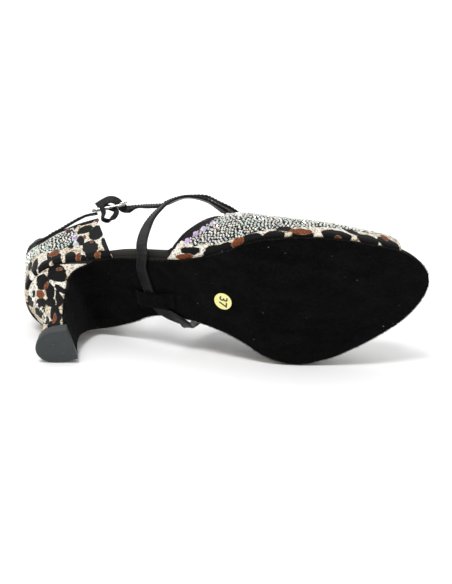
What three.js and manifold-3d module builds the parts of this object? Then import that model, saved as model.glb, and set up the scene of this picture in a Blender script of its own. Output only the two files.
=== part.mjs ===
// Ballroom dance sandal for the right foot: suede sole, flared heel, open-toed vamp, closed counter
// and a thin strap that wraps the ankle, the instep and the arch.
// Millimetres. The shoe is drawn standing, x from the back of the heel to the toe, y to the medial
// side and z up. At the end it is laid on its medial side, as it comes to rest on a floor.
import * as THREE from 'three'
import { mergeVertices } from 'three/addons/utils/BufferGeometryUtils.js'
import Module from 'manifold-3d'

// Driving dimensions
const length = 228.3
const ballWidth = 80.6
const heelRise = 55.5
const instepHeight = 66
const counterHeight = 46.5
const soleThickness = 1.8
const insoleThickness = 6.6
const upperWall = 1.7
const clearance = 0.3
const swell = 6
const medialSwell = 0.6
const turnHeight = 3.2
const topPieceThickness = 7
const topPieceBevel = 0.6
const heelWidth = 44.6
const heelLength = 41.5
const bindingRadius = 0.95
const strapWidth = 6.4
const strapThickness = 1.8
const strapCorner = 0.28
const loopWidth = 5
const loopThickness = 1.3
const soleLoopWidth = 9.6
const buckleLength = 21.6
const buckleWidth = 12
const buckleWire = 1.7
const prongRadius = 0.6
const strapSteps = 160
const stickerDiameter = 10.4
const stickerThickness = 0.3

// The last, station by station. along is a share of the length and rise of the heel rise; centre and
// half are the middle and half width of the sole's outline as shares of the ball width; bulge is the
// share of the swell past the sole's edge, and pad the share of the insole's thickness.
const lastRows = [
  { along: 0.000, rise: 1.010, centre: 0.012, half: 0.278, bulge: 0.40, pad: 1.00 },
  { along: 0.070, rise: 1.000, centre: 0.014, half: 0.278, bulge: 0.42, pad: 1.00 },
  { along: 0.180, rise: 0.964, centre: 0.016, half: 0.277, bulge: 0.60, pad: 1.00 },
  { along: 0.267, rise: 0.811, centre: -0.028, half: 0.259, bulge: 0.82, pad: 1.00 },
  { along: 0.311, rise: 0.712, centre: -0.062, half: 0.230, bulge: 0.95, pad: 1.00 },
  { along: 0.355, rise: 0.595, centre: -0.080, half: 0.219, bulge: 1.00, pad: 1.00 },
  { along: 0.399, rise: 0.468, centre: -0.088, half: 0.228, bulge: 1.00, pad: 1.00 },
  { along: 0.442, rise: 0.348, centre: -0.092, half: 0.258, bulge: 0.92, pad: 0.98 },
  { along: 0.486, rise: 0.234, centre: -0.091, half: 0.304, bulge: 0.82, pad: 0.95 },
  { along: 0.530, rise: 0.135, centre: -0.079, half: 0.368, bulge: 0.72, pad: 0.92 },
  { along: 0.574, rise: 0.054, centre: -0.057, half: 0.447, bulge: 0.62, pad: 0.90 },
  { along: 0.618, rise: 0.013, centre: -0.032, half: 0.486, bulge: 0.54, pad: 0.87 },
  { along: 0.661, rise: 0.000, centre: -0.014, half: 0.496, bulge: 0.48, pad: 0.84 },
  { along: 0.727, rise: 0.000, centre: 0.002, half: 0.476, bulge: 0.46, pad: 0.80 },
  { along: 0.793, rise: 0.007, centre: 0.008, half: 0.427, bulge: 0.46, pad: 0.76 },
  { along: 0.859, rise: 0.027, centre: 0.018, half: 0.355, bulge: 0.46, pad: 0.72 },
  { along: 1.000, rise: 0.135, centre: 0.040, half: 0.191, bulge: 0.44, pad: 0.66 },
]
const toeRound = { start: 0.859, power: 3.6, root: 0.55 }
const heelRound = { start: 0.125, power: 2.15, inset: 2.9 }

// The vamp over the foot. crown is its ridge above the ground as a share of the instep height, ridge
// the ridge's place as a share of the ball width, and full how square the section is.
const vampRows = [
  { along: 0.36, crown: 1.56, ridge: 0.00, full: 2.6 },
  { along: 0.42, crown: 1.44, ridge: 0.00, full: 2.6 },
  { along: 0.49, crown: 1.25, ridge: 0.00, full: 2.55 },
  { along: 0.545, crown: 1.10, ridge: 0.01, full: 2.5 },
  { along: 0.59, crown: 1.00, ridge: 0.02, full: 2.45 },
  { along: 0.63, crown: 0.880, ridge: 0.02, full: 2.4 },
  { along: 0.70, crown: 0.740, ridge: 0.03, full: 2.35 },
  { along: 0.77, crown: 0.640, ridge: 0.03, full: 2.35 },
  { along: 0.84, crown: 0.575, ridge: 0.03, full: 2.35 },
  { along: 0.91, crown: 0.525, ridge: 0.03, full: 2.4 },
  { along: 0.96, crown: 0.500, ridge: 0.03, full: 2.4 },
]

// The vamp's two open edges, from the sole (up 0) over the side to the ridge (up 1), as shares of
// the length.
const vampEdgeRows = [
  { up: 0.00, throat: 0.377, toe: 0.938 },
  { up: 0.14, throat: 0.401, toe: 0.941 },
  { up: 0.18, throat: 0.415, toe: 0.941 },
  { up: 0.23, throat: 0.430, toe: 0.941 },
  { up: 0.31, throat: 0.455, toe: 0.940 },
  { up: 0.43, throat: 0.490, toe: 0.938 },
  { up: 0.58, throat: 0.527, toe: 0.934 },
  { up: 0.74, throat: 0.556, toe: 0.926 },
  { up: 0.88, throat: 0.577, toe: 0.917 },
  { up: 1.00, throat: 0.585, toe: 0.914 },
]

// The counter round the heel. around runs from the back (0) to the front edge (1); top is the share
// of the counter height, and lean the share of the heel width that its top edge stands out past
// the swell.
const counterRows = [
  { around: 0.00, top: 1.000, lean: -0.035 },
  { around: 0.12, top: 0.985, lean: -0.045 },
  { around: 0.21, top: 0.925, lean: -0.055 },
  { around: 0.32, top: 0.800, lean: -0.050 },
  { around: 0.43, top: 0.735, lean: -0.045 },
  { around: 0.60, top: 0.805, lean: -0.036 },
  { around: 0.82, top: 0.925, lean: -0.030 },
  { around: 1.00, top: 0.980, lean: -0.024 },
]
const counterReach = { base: 0.243, top: 0.222 }

// The heel block by height. height is a share of the heel rise, back and front of the heel length,
// half and centre of the heel width, and skew turns the breast from straight across.
const heelRows = [
  { height: 0.00, back: 0.128, front: 0.572, half: 0.226, centre: 0.000, skew: 0.14 },
  { height: 0.13, back: 0.178, front: 0.572, half: 0.229, centre: 0.006, skew: 0.14 },
  { height: 0.27, back: 0.245, front: 0.576, half: 0.233, centre: 0.013, skew: 0.14 },
  { height: 0.44, back: 0.288, front: 0.596, half: 0.252, centre: 0.020, skew: 0.14 },
  { height: 0.58, back: 0.262, front: 0.631, half: 0.290, centre: 0.027, skew: 0.14 },
  { height: 0.74, back: 0.172, front: 0.689, half: 0.356, centre: 0.034, skew: 0.14 },
  { height: 0.86, back: 0.112, front: 0.757, half: 0.424, centre: 0.036, skew: 0.12 },
  { height: 0.935, back: 0.084, front: 0.862, half: 0.460, centre: 0.034, skew: 0.05 },
  { height: 0.955, back: 0.078, front: 0.940, half: 0.470, centre: 0.032, skew: 0.00 },
]
const heelRoundness = 2.05

// A cubic through named columns that never overshoots its rows
function tableOf(rows, key) {
  const names = Object.keys(rows[0]).filter((name) => name !== key)
  const slopes = {}
  for (const name of names) {
    const slopeTo = (row, i) => (row[name] - rows[i][name]) / (row[key] - rows[i][key])
    const secant = rows.slice(1).map(slopeTo)
    slopes[name] = rows.map((row, i) => {
      if (i === 0) return secant[0]
      if (i === rows.length - 1) return secant[i - 1]
      const product = secant[i - 1] * secant[i]
      return product <= 0 ? 0 : (2 * product) / (secant[i - 1] + secant[i])
    })
  }
  return (value) => {
    let i = 0
    while (i < rows.length - 2 && value > rows[i + 1][key]) i += 1
    const step = rows[i + 1][key] - rows[i][key]
    const s = THREE.MathUtils.clamp((value - rows[i][key]) / step, 0, 1)
    const result = {}
    for (const name of names) {
      const [from, to] = [rows[i][name], rows[i + 1][name]]
      result[name] = from * (1 + 2 * s) * (1 - s) ** 2 + to * s * s * (3 - 2 * s)
        + step * (slopes[name][i] * s * (1 - s) ** 2 - slopes[name][i + 1] * s * s * (1 - s))
    }
    return result
  }
}
const lastAt = tableOf(lastRows, 'along')
const vampAt = tableOf(vampRows, 'along')
const vampEdgeAt = tableOf(vampEdgeRows, 'up')
const counterAt = tableOf(counterRows, 'around')
const heelAt = tableOf(heelRows, 'height')

const spread = (from, to, count) => Array.from(
  { length: count + 1 },
  (_, i) => from + ((to - from) * i) / count,
)
const sides = { lateral: -1, medial: 1 }
const treadHeight = soleThickness + clearance

// The sole's outline and the underside of the insole board at one place along the shoe
function station(x) {
  const along = THREE.MathUtils.clamp(x / length, 0, 1)
  const row = lastAt(along)
  let half = row.half * ballWidth
  if (along > toeRound.start) {
    const s = (along - toeRound.start) / (1 - toeRound.start)
    half *= (1 - s ** toeRound.power) ** toeRound.root
  }
  if (along < heelRound.start) {
    const from = heelRound.start * length
    const s = Math.min((from - x) / (from - heelRound.inset), 1)
    half *= (1 - s ** heelRound.power) ** (1 / heelRound.power)
  }
  const swollen = (share) => Math.max(row.bulge * swell * share, upperWall + 3 * clearance)
  return {
    centre: row.centre * ballWidth,
    half,
    board: treadHeight + row.rise * heelRise,
    bulge: { [sides.lateral]: swollen(1), [sides.medial]: swollen(medialSwell) },
    pad: row.pad * insoleThickness,
  }
}

// Closed solids from grids and rings
function solid(vertices, faces) {
  const geometry = new THREE.BufferGeometry()
  const places = vertices.flatMap((v) => [v.x, v.y, v.z])
  geometry.setAttribute('position', new THREE.Float32BufferAttribute(places, 3))
  geometry.setIndex(faces.flat())
  if (volumeOf(geometry) < 0) geometry.setIndex(faces.flatMap(([a, b, c]) => [a, c, b]))
  return geometry
}

function triangles(geometry) {
  const position = geometry.attributes.position
  const index = geometry.index.array
  const corner = (i) => new THREE.Vector3().fromBufferAttribute(position, index[i])
  const faceAt = (_, i) => [corner(3 * i), corner(3 * i + 1), corner(3 * i + 2)]
  return Array.from({ length: index.length / 3 }, faceAt)
}

function volumeOf(geometry) {
  return triangles(geometry).reduce((sum, [a, b, c]) => sum + a.dot(b.clone().cross(c)) / 6, 0)
}

// A wall between an outer and an inner grid of points, closed along its four edges
function wallBetween(outer, inner) {
  const [rows, columns] = [outer.length, outer[0].length]
  const at = (layer, i, j) => layer * rows * columns + i * columns + j
  const points = [...outer.flat(), ...inner.flat()]
  const quad = (a, b, c, d) => {
    const straight = points[a].distanceTo(points[c]) <= points[b].distanceTo(points[d])
    return straight ? [[a, b, c], [a, c, d]] : [[a, b, d], [b, c, d]]
  }
  const faces = []
  for (let i = 0; i < rows - 1; i += 1) {
    for (let j = 0; j < columns - 1; j += 1) {
      faces.push(...quad(at(0, i, j), at(0, i, j + 1), at(0, i + 1, j + 1), at(0, i + 1, j)))
      faces.push(...quad(at(1, i, j), at(1, i + 1, j), at(1, i + 1, j + 1), at(1, i, j + 1)))
    }
  }
  for (let i = 0; i < rows - 1; i += 1) {
    const last = columns - 1
    faces.push(...quad(at(0, i, 0), at(0, i + 1, 0), at(1, i + 1, 0), at(1, i, 0)))
    faces.push(...quad(at(0, i, last), at(1, i, last), at(1, i + 1, last), at(0, i + 1, last)))
  }
  for (let j = 0; j < columns - 1; j += 1) {
    const last = rows - 1
    faces.push(...quad(at(0, 0, j), at(1, 0, j), at(1, 0, j + 1), at(0, 0, j + 1)))
    faces.push(...quad(at(0, last, j), at(0, last, j + 1), at(1, last, j + 1), at(1, last, j)))
  }
  return solid(points, faces)
}

// A solid through closed rings, with fan caps, or joined end to end where the path closes
function loft(rings, closed = false) {
  const count = rings[0].length
  const vertices = rings.flat()
  const faces = []
  const last = rings.length - 1
  for (let i = 0; i < (closed ? rings.length : last); i += 1) {
    const next = (i + 1) % rings.length
    for (let j = 0; j < count; j += 1) {
      const k = (j + 1) % count
      faces.push([i * count + j, i * count + k, next * count + k])
      faces.push([i * count + j, next * count + k, next * count + j])
    }
  }
  if (!closed) {
    for (const [ring, flip] of [[0, true], [last, false]]) {
      const middle = rings[ring].reduce((sum, v) => sum.add(v), new THREE.Vector3()).divideScalar(count)
      vertices.push(middle)
      for (let j = 0; j < count; j += 1) {
        const pair = [ring * count + j, ring * count + ((j + 1) % count)]
        faces.push(flip ? [pair[1], pair[0], vertices.length - 1] : [...pair, vertices.length - 1])
      }
    }
  }
  return solid(vertices, faces)
}

// A section swept along a path. Each path point has a place and the way its face looks; the section
// lies in across (the strap's width) and face (its thickness).
function sweep(path, section, closed = false) {
  const count = path.length
  const rings = path.map(({ place, face }, i) => {
    const before = path[closed ? (i + count - 1) % count : Math.max(i - 1, 0)].place
    const after = path[closed ? (i + 1) % count : Math.min(i + 1, count - 1)].place
    const along = after.clone().sub(before).normalize()
    const across = along.clone().cross(face).normalize()
    const out = across.clone().cross(along).normalize()
    return section.map(([a, b]) => place.clone().addScaledVector(across, a).addScaledVector(out, b))
  })
  return loft(rings, closed)
}

const roundSection = (radius, count) => spread(0, 2 * Math.PI, count).slice(0, count)
  .map((angle) => [radius * Math.cos(angle), radius * Math.sin(angle)])

function strapSection(width, thickness) {
  const [a, b, c] = [width / 2, thickness / 2, thickness * strapCorner]
  const half = [[a - c, -b], [a, -b + c], [a, b - c], [a - c, b]]
  return [...half, ...half.map(([across, lift]) => [-across, -lift])]
}

// A smooth path through hand-placed rows of place and face
function strapPath(rows, count, closed = false) {
  const through = (points) => new THREE.CatmullRomCurve3(points, closed, 'centripetal')
  const curve = through(rows.map((row) => row.place))
  const faces = through(rows.map((row) => new THREE.Vector3(...row.face)))
  return spread(0, 1, count).slice(0, closed ? count : count + 1)
    .map((t) => ({ place: curve.getPoint(t), face: faces.getPoint(t).normalize() }))
}

// The outsole: one suede sheet along the board, round the corner and down the heel's breast
const breastShare = 0.97
const heelFoot = topPieceThickness + clearance
const [heelFlare, heelTop] = [0.74, heelRows.at(-1).height]
const heelHeights = [
  ...spread((heelFoot - treadHeight) / heelRise, heelFlare, 7).slice(0, -1),
  ...spread(heelFlare, heelTop, 5),
]
const heelFrontLine = heelHeights.toReversed().map((height) => {
  const row = heelAt(height)
  return {
    x: row.front * heelLength,
    z: height * heelRise + treadHeight,
    centre: row.centre * heelWidth,
    half: breastShare * row.half * heelWidth,
    skew: row.skew,
  }
})

function outsoleRun() {
  const [toe, waist] = [length - 0.25, heelLength + 2]
  const closerAtToe = 0.35
  const body = []
  for (const share of spread(0, 1, 28)) {
    const x = toe - (toe - waist) * share * (1 - closerAtToe * (1 - share))
    const { centre, half, board } = station(x)
    body.push({ x, z: board, centre, half, skew: 0 })
  }
  return [...body, ...heelFrontLine]
}

function outsole() {
  const run = outsoleRun()
  const sheet = (depth) => run.map((point, i) => {
    const [before, after] = [run[Math.max(i - 1, 0)], run[Math.min(i + 1, run.length - 1)]]
    const ahead = new THREE.Vector2(after.x - before.x, after.z - before.z).normalize()
    return spread(-1, 1, 6).map((share) => {
      const across = share * point.half
      const x = point.x + point.skew * across - ahead.y * depth
      return new THREE.Vector3(x, point.centre + across, point.z + ahead.x * depth)
    })
  })
  return wallBetween(sheet(clearance + soleThickness), sheet(clearance))
}

// The insole: a padded board whose wrapped rim swells past the sole's edge
function insole() {
  const stations = [
    ...spread(heelRound.inset + 0.8, 20, 6),
    ...spread(26, length - 24, 22),
    ...spread(length - 19, length - 1.2, 6),
  ]
  const step = upperWall + clearance
  const roundedRim = 1.1
  const rings = stations.map((x) => {
    const { centre, half, board, bulge, pad } = station(x)
    const profileOf = (side) => {
      const rim = bulge[side] - 1.8 * clearance - step
      return [
        [0, 0],
        [0, step],
        [clearance + 0.7 * rim, step + 0.3 * (turnHeight - step)],
        [clearance + rim, turnHeight],
        [clearance + rim, pad - roundedRim],
        [clearance + rim - roundedRim, pad],
      ]
    }
    const edge = (side, [out, up]) => new THREE.Vector3(x, centre + side * (half + out), board + up)
    const onTop = (share) => new THREE.Vector3(x, centre + share * half, board + pad)
    return [
      ...profileOf(sides.lateral).map((point) => edge(sides.lateral, point)),
      ...spread(-0.5, 0.5, 2).map(onTop),
      ...profileOf(sides.medial).reverse().map((point) => edge(sides.medial, point)),
    ]
  })
  return loft(rings)
}

// The upper's section. side is -1 or 1, share runs from the sole (0) over the swell to the ridge (1),
// and depth is the distance in from the outer face.
const turnShare = 0.14
const seat = 1.6 * clearance
function vampPoint(x, side, share, depth) {
  const { centre, half, board, bulge } = station(x)
  const row = vampAt(x / length)
  const radius = bulge[side] - seat
  if (share < turnShare) {
    const angle = (Math.PI / 2) * (1 - share / turnShare)
    const out = seat + (radius - depth) * Math.cos(angle)
    const up = board + turnHeight - (turnHeight - depth) * Math.sin(angle)
    return new THREE.Vector3(x, centre + side * (half + out), up)
  }
  const angle = (Math.PI / 2) * ((share - turnShare) / (1 - turnShare))
  const ridge = centre + row.ridge * ballWidth
  const sideY = centre + side * (half + bulge[side] - depth)
  const height = row.crown * instepHeight - board - turnHeight - depth
  const y = ridge + (sideY - ridge) * Math.cos(angle) ** (2 / row.full)
  return new THREE.Vector3(x, y, board + turnHeight + height * Math.sin(angle) ** (2 / row.full))
}

const vampColumns = [...spread(0, turnShare, 3), ...spread(turnShare, 1, 11).slice(1)]
const vampTrack = [
  ...vampColumns.map((up) => ({ side: sides.lateral, up })),
  ...vampColumns.toReversed().slice(1).map((up) => ({ side: sides.medial, up })),
]

function vamp() {
  const grid = (depth) => spread(0, 1, 19).map((share) => vampTrack.map(({ side, up }) => {
    const edges = vampEdgeAt(up)
    const x = length * (edges.throat + (edges.toe - edges.throat) * share)
    return vampPoint(x, side, up, depth)
  }))
  return wallBetween(grid(0), grid(upperWall))
}

// The counter walks the sole's outline round the back of the heel
function outlineWalk(reach) {
  const points = []
  for (const side of [sides.lateral, sides.medial]) {
    const half = spread(0, 1, 60).map((share) => {
      const eased = (1 - Math.cos((share * Math.PI) / 2)) ** 1.4
      const x = heelRound.inset + (reach - heelRound.inset) * eased
      const { centre, half: width } = station(x)
      return new THREE.Vector2(x, centre + side * width)
    })
    points.push(...(side < 0 ? half.reverse() : half.slice(1)))
  }
  return points
}

function walkAt(points, around) {
  const lengths = [0]
  for (let i = 1; i < points.length; i += 1) {
    lengths.push(lengths[i - 1] + points[i].distanceTo(points[i - 1]))
  }
  const middle = (points.length - 1) / 2
  const wanted = around < 0
    ? lengths[middle] * (1 + around)
    : lengths[middle] + (lengths.at(-1) - lengths[middle]) * around
  let i = 1
  while (i < points.length - 1 && lengths[i] < wanted) i += 1
  const share = (wanted - lengths[i - 1]) / (lengths[i] - lengths[i - 1])
  const place = points[i - 1].clone().lerp(points[i], share)
  const reach = 3
  const tangent = points[Math.min(i + reach, points.length - 1)].clone()
    .sub(points[Math.max(i - 1 - reach, 0)])
  return { place, out: new THREE.Vector2(-tangent.y, tangent.x).normalize() }
}

const counterWalk = outlineWalk(counterReach.base * length)
function counterPoint(around, up, depth) {
  const row = counterAt(Math.abs(around))
  const setBack = 1 - (1 - counterReach.top / counterReach.base) * up
  const { place, out } = walkAt(counterWalk, around * setBack)
  const { board, bulge } = station(place.x)
  const radius = bulge[around < 0 ? sides.lateral : sides.medial] - seat
  let [distance, height] = [0, 0]
  if (up < turnShare) {
    const angle = (Math.PI / 2) * (1 - up / turnShare)
    distance = seat + (radius - depth) * Math.cos(angle)
    height = turnHeight - (turnHeight - depth) * Math.sin(angle)
  } else {
    const rise = (up - turnShare) / (1 - turnShare)
    const eased = rise * rise * (3 - 2 * rise)
    distance = seat + radius - depth + row.lean * heelWidth * eased
    height = turnHeight + (row.top * counterHeight - turnHeight) * rise
  }
  return new THREE.Vector3(place.x + out.x * distance, place.y + out.y * distance, board + height)
}

function counter() {
  const rows = [...spread(0, turnShare, 3), ...spread(turnShare, 1, 7).slice(1)]
  const row = (up, depth) => spread(-1, 1, 36).map((around) => counterPoint(around, up, depth))
  const grid = (depth) => rows.map((up) => row(up, depth))
  return wallBetween(grid(0), grid(upperWall))
}

// Beads along the two cut edges, a clearance off them
const bindingDepth = 0.45 * upperWall
function besideEdge(edge) {
  return edge.map(({ place, face, inside }, i) => {
    const before = edge[Math.max(i - 1, 0)].place
    const after = edge[Math.min(i + 1, edge.length - 1)].place
    const off = after.clone().sub(before).cross(face).setLength(bindingRadius + 1.9 * clearance)
    if (off.dot(inside.clone().sub(place)) > 0) off.negate()
    return { place: place.clone().add(off), face }
  })
}

function throatBinding() {
  const edge = vampTrack.slice(1, -1).map(({ side, up }) => {
    const x = length * vampEdgeAt(up).throat
    const face = vampPoint(x, side, up, 0).sub(vampPoint(x, side, up, upperWall)).normalize()
    const inside = vampPoint(x + 2, side, up, bindingDepth)
    return { place: vampPoint(x, side, up, bindingDepth), face, inside }
  })
  return sweep(besideEdge(edge), roundSection(bindingRadius, 6))
}

function toplineBinding() {
  const edge = spread(-1, 1, 36).map((around) => {
    const face = counterPoint(around, 1, 0).sub(counterPoint(around, 1, upperWall)).normalize()
    const inside = counterPoint(around, 0.9, bindingDepth)
    return { place: counterPoint(around, 1, bindingDepth), face, inside }
  })
  return sweep(besideEdge(edge), roundSection(bindingRadius, 6))
}

// The heel block: rings with a flat breast and a round back
function heelRing(height, z, front) {
  const row = heelAt(height)
  const back = row.back * heelLength
  const half = row.half * heelWidth
  const centre = row.centre * heelWidth
  const middle = front - 0.4 * (front - back)
  const heightAt = typeof z === 'function' ? z : () => z
  const point = (x, y) => new THREE.Vector3(x, y, heightAt(x))
  const breast = spread(-1, 1, 4).map((share) => {
    const across = share * half * breastShare
    return point(front + row.skew * across, centre + across)
  })
  const round = spread(1, -1, 18).map((share) => {
    const angle = (share * Math.PI) / 2
    const x = middle - (middle - back) * Math.abs(Math.cos(angle)) ** (2 / heelRoundness)
    return point(x, centre + half * Math.sign(angle) * Math.abs(Math.sin(angle)) ** (2 / heelRoundness))
  })
  return [...breast, ...round]
}

function heel() {
  const rings = heelHeights.map((height) => {
    const front = heelAt(height).front * heelLength
    return heelRing(height, height * heelRise + treadHeight, front)
  })
  rings.push(heelRing(1, (x) => station(x).board - clearance, heelLength * 0.975))
  return loft(rings)
}

function topPiece() {
  const front = heelRows[0].front * heelLength + clearance + soleThickness
  const rings = [0, topPieceBevel, topPieceThickness].map((z) => {
    const ring = heelRing(Math.max(z - treadHeight, 0) / heelRise, z, front)
    if (z > 0) return ring
    const middle = ring.reduce((sum, v) => sum.add(v), new THREE.Vector3()).divideScalar(ring.length)
    return ring.map((v) => {
      const inward = middle.clone().sub(v).setZ(0)
      return v.clone().add(inward.setLength(topPieceBevel))
    })
  })
  return loft(rings)
}

// Joins and cuts
const wasm = await Module()
wasm.setup()
function toManifold(geometry) {
  const bare = geometry.clone()
  for (const name of ['normal', 'uv']) bare.deleteAttribute(name)
  const merged = mergeVertices(bare, 1e-4)
  return new wasm.Manifold(new wasm.Mesh({
    numProp: 3,
    vertProperties: merged.attributes.position.array,
    triVerts: new Uint32Array(merged.index.array),
  }))
}
function fromManifold(body) {
  const mesh = body.getMesh()
  const result = new THREE.BufferGeometry()
  result.setAttribute('position', new THREE.BufferAttribute(mesh.vertProperties, 3))
  result.setIndex(new THREE.BufferAttribute(mesh.triVerts, 1))
  return result
}
const cut = (geometry, tool) => fromManifold(toManifold(geometry).subtract(toManifold(tool)))

// The buckle stands edge on over the counter's lateral front corner: local x runs along the strap,
// y across it and z away from the foot.
const lateralCorner = counterPoint(-1, 1, upperWall / 2)
const medialCorner = counterPoint(1, 1, upperWall / 2)
const buckleOffset = new THREE.Vector3(7.7, 0.3, 15.8)
const buckleTurn = new THREE.Matrix4().makeBasis(
  new THREE.Vector3(1, 0, 0.01).normalize(),
  new THREE.Vector3(0, 0.49, 0.87).normalize(),
  new THREE.Vector3(1, 0, 0.01).cross(new THREE.Vector3(0, 0.49, 0.87)).normalize(),
).setPosition(lateralCorner.clone().add(buckleOffset))
const byBuckle = (along, lift) => new THREE.Vector3(along, 0, lift).applyMatrix4(buckleTurn)
const passing = (buckleWire + strapThickness) / 2 + clearance

const wireAt = (radius, points, closed = false) => {
  const path = points.map(([along, across, lift]) => ({
    place: new THREE.Vector3(along, across, lift),
    face: closed ? new THREE.Vector3(0, 0, 1) : new THREE.Vector3(0, 1, 0),
  }))
  return sweep(path, roundSection(radius, 8), closed)
}

function buckleFrame() {
  const corner = 2.4
  const [a, b] = [(buckleLength - buckleWire) / 2 - corner, (buckleWidth - buckleWire) / 2 - corner]
  const bends = [
    { x: a, y: b, from: 0 },
    { x: -a, y: b, from: 90 },
    { x: -a, y: -b, from: 180 },
    { x: a, y: -b, from: 270 },
  ]
  const rim = bends.flatMap(({ x, y, from }) => spread(from, from + 90, 3).map((degrees) => {
    const angle = THREE.MathUtils.degToRad(degrees)
    return [x + corner * Math.cos(angle), y + corner * Math.sin(angle), 0]
  }))
  return wireAt(buckleWire / 2, rim, true).applyMatrix4(buckleTurn)
}

function buckleProng(radius) {
  const over = buckleWire / 2 + prongRadius + clearance
  const root = over - (buckleLength - buckleWire) / 2
  const tip = buckleLength / 2
  const run = [
    [root, 0, 0],
    [root + 4, 0, 0.2],
    [tip - 2 * buckleWire, 0, 0.8 * over],
    [tip - buckleWire, 0, over],
    [tip + prongRadius, 0, over],
  ]
  return wireAt(radius, run).applyMatrix4(buckleTurn)
}

// Ways to place the strap: hugging the counter's top edge, free in the air, or flat under the sole.
// along is a share of the length, across of the ball width and up, above the board, of the instep
// height; face is the way the strap's flat side looks.
function onCounter({ around, rise, out, tilt }) {
  const edge = counterPoint(around, 1, 0)
  const outward = edge.clone().sub(counterPoint(around, 1, upperWall)).setZ(0).normalize()
  const alongRim = counterPoint(around + 0.02, 1, 0).sub(counterPoint(around - 0.02, 1, 0))
  const above = alongRim.cross(outward).normalize()
  if (above.z < 0) above.negate()
  const angle = THREE.MathUtils.degToRad(tilt)
  const face = outward.clone().multiplyScalar(Math.cos(angle)).addScaledVector(above, Math.sin(angle))
  const place = edge.addScaledVector(outward, out).addScaledVector(above, rise)
  return { place, face: face.toArray() }
}
function inAir({ along, across, up, face }) {
  const x = along * length
  const place = new THREE.Vector3(x, across * ballWidth, station(x).board + up * instepHeight)
  return { place, face }
}
function underSole({ along, across, off = strapThickness / 2 + clearance / 2 }) {
  const x = along * length
  const [here, ahead] = [station(x - 1), station(x + 1)]
  const down = new THREE.Vector3(ahead.board - here.board, 0, -2).normalize()
  const place = new THREE.Vector3(x, across * ballWidth, station(x).board)
  place.addScaledVector(down, 2 * clearance + soleThickness + off)
  return { place, face: down.toArray() }
}

// The one long strap, run by run: from under the buckle round the counter's top edge. rise is above
// the edge, out past the outer face, and tilt turns the face up.
const ankleRun = [
  { around: -0.88, rise: 9.2, out: 0.2, tilt: 30 },
  { around: -0.74, rise: 7.0, out: -0.9, tilt: 30 },
  { around: -0.60, rise: 5.4, out: -1.3, tilt: 30 },
  { around: -0.50, rise: 5.4, out: -1.3, tilt: 30 },
  { around: -0.40, rise: 5.7, out: -1.3, tilt: 30 },
  { around: -0.30, rise: 5.6, out: -1.4, tilt: 30 },
  { around: -0.20, rise: 5.6, out: -1.5, tilt: 30 },
  { around: -0.10, rise: 5.8, out: -1.8, tilt: 30 },
  { around: 0.00, rise: 5.8, out: -2.0, tilt: 30 },
  { around: 0.10, rise: 5.8, out: -1.8, tilt: 30 },
  { around: 0.20, rise: 5.8, out: -1.5, tilt: 30 },
  { around: 0.40, rise: 6.0, out: -1.2, tilt: 25 },
  { around: 0.60, rise: 5.8, out: -1.0, tilt: 15 },
  { around: 0.80, rise: 7.2, out: -0.8, tilt: 5 },
]
// Over the instep from the medial loop to the lateral edge of the waist
const crossRun = [
  { along: 0.270, across: 0.330, up: 0.94, face: [0, 1, 0.05] },
  { along: 0.330, across: 0.350, up: 0.885, face: [0, 1, 0.1] },
  { along: 0.392, across: 0.345, up: 0.90, face: [0, 1, 0.1] },
  { along: 0.455, across: 0.318, up: 0.98, face: [0.2, 0.95, 0.2] },
  { along: 0.520, across: 0.235, up: 1.12, face: [0.3, 0.8, 0.4] },
  { along: 0.560, across: 0.110, up: 1.20, face: [0.5, 0.4, 0.7] },
  { along: 0.572, across: -0.030, up: 1.24, face: [0.6, 0, 0.8] },
  { along: 0.566, across: -0.150, up: 1.24, face: [0.6, -0.3, 0.7] },
  { along: 0.550, across: -0.240, up: 1.225, face: [0.45, -0.5, 0.7] },
  { along: 0.528, across: -0.298, up: 1.215, face: [0.3, -0.7, 0.65] },
  { along: 0.503, across: -0.346, up: 1.210, face: [0.1, -0.8, 0.6] },
  { along: 0.466, across: -0.390, up: 1.140, face: [0, -0.87, 0.49] },
  { along: 0.434, across: -0.416, up: 1.015, face: [-0.2, -0.87, 0.49] },
  { along: 0.398, across: -0.430, up: 0.82, face: [-0.3, -0.87, 0.45] },
  { along: 0.375, across: -0.422, up: 0.675, face: [-0.3, -0.9, 0.3] },
  { along: 0.354, across: -0.408, up: 0.525, face: [-0.3, -0.9, 0.2] },
  { along: 0.337, across: -0.394, up: 0.35, face: [-0.1, -1, 0.1] },
  { along: 0.324, across: -0.384, up: 0.155, face: [0, -1, 0] },
  { along: 0.319, across: -0.372, up: 0.045, face: [-0.05, -1, -0.05] },
  { along: 0.317, across: -0.340, up: -0.048, face: [-0.4, -0.6, -0.65] },
]
// Under the waist, through the suede loop
const waistRun = [
  { along: 0.317, across: -0.250 },
  { along: 0.320, across: -0.150 },
  { along: 0.325, across: -0.060 },
  { along: 0.333, across: 0.010 },
  { along: 0.344, across: 0.080 },
  { along: 0.363, across: 0.118 },
]
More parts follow.
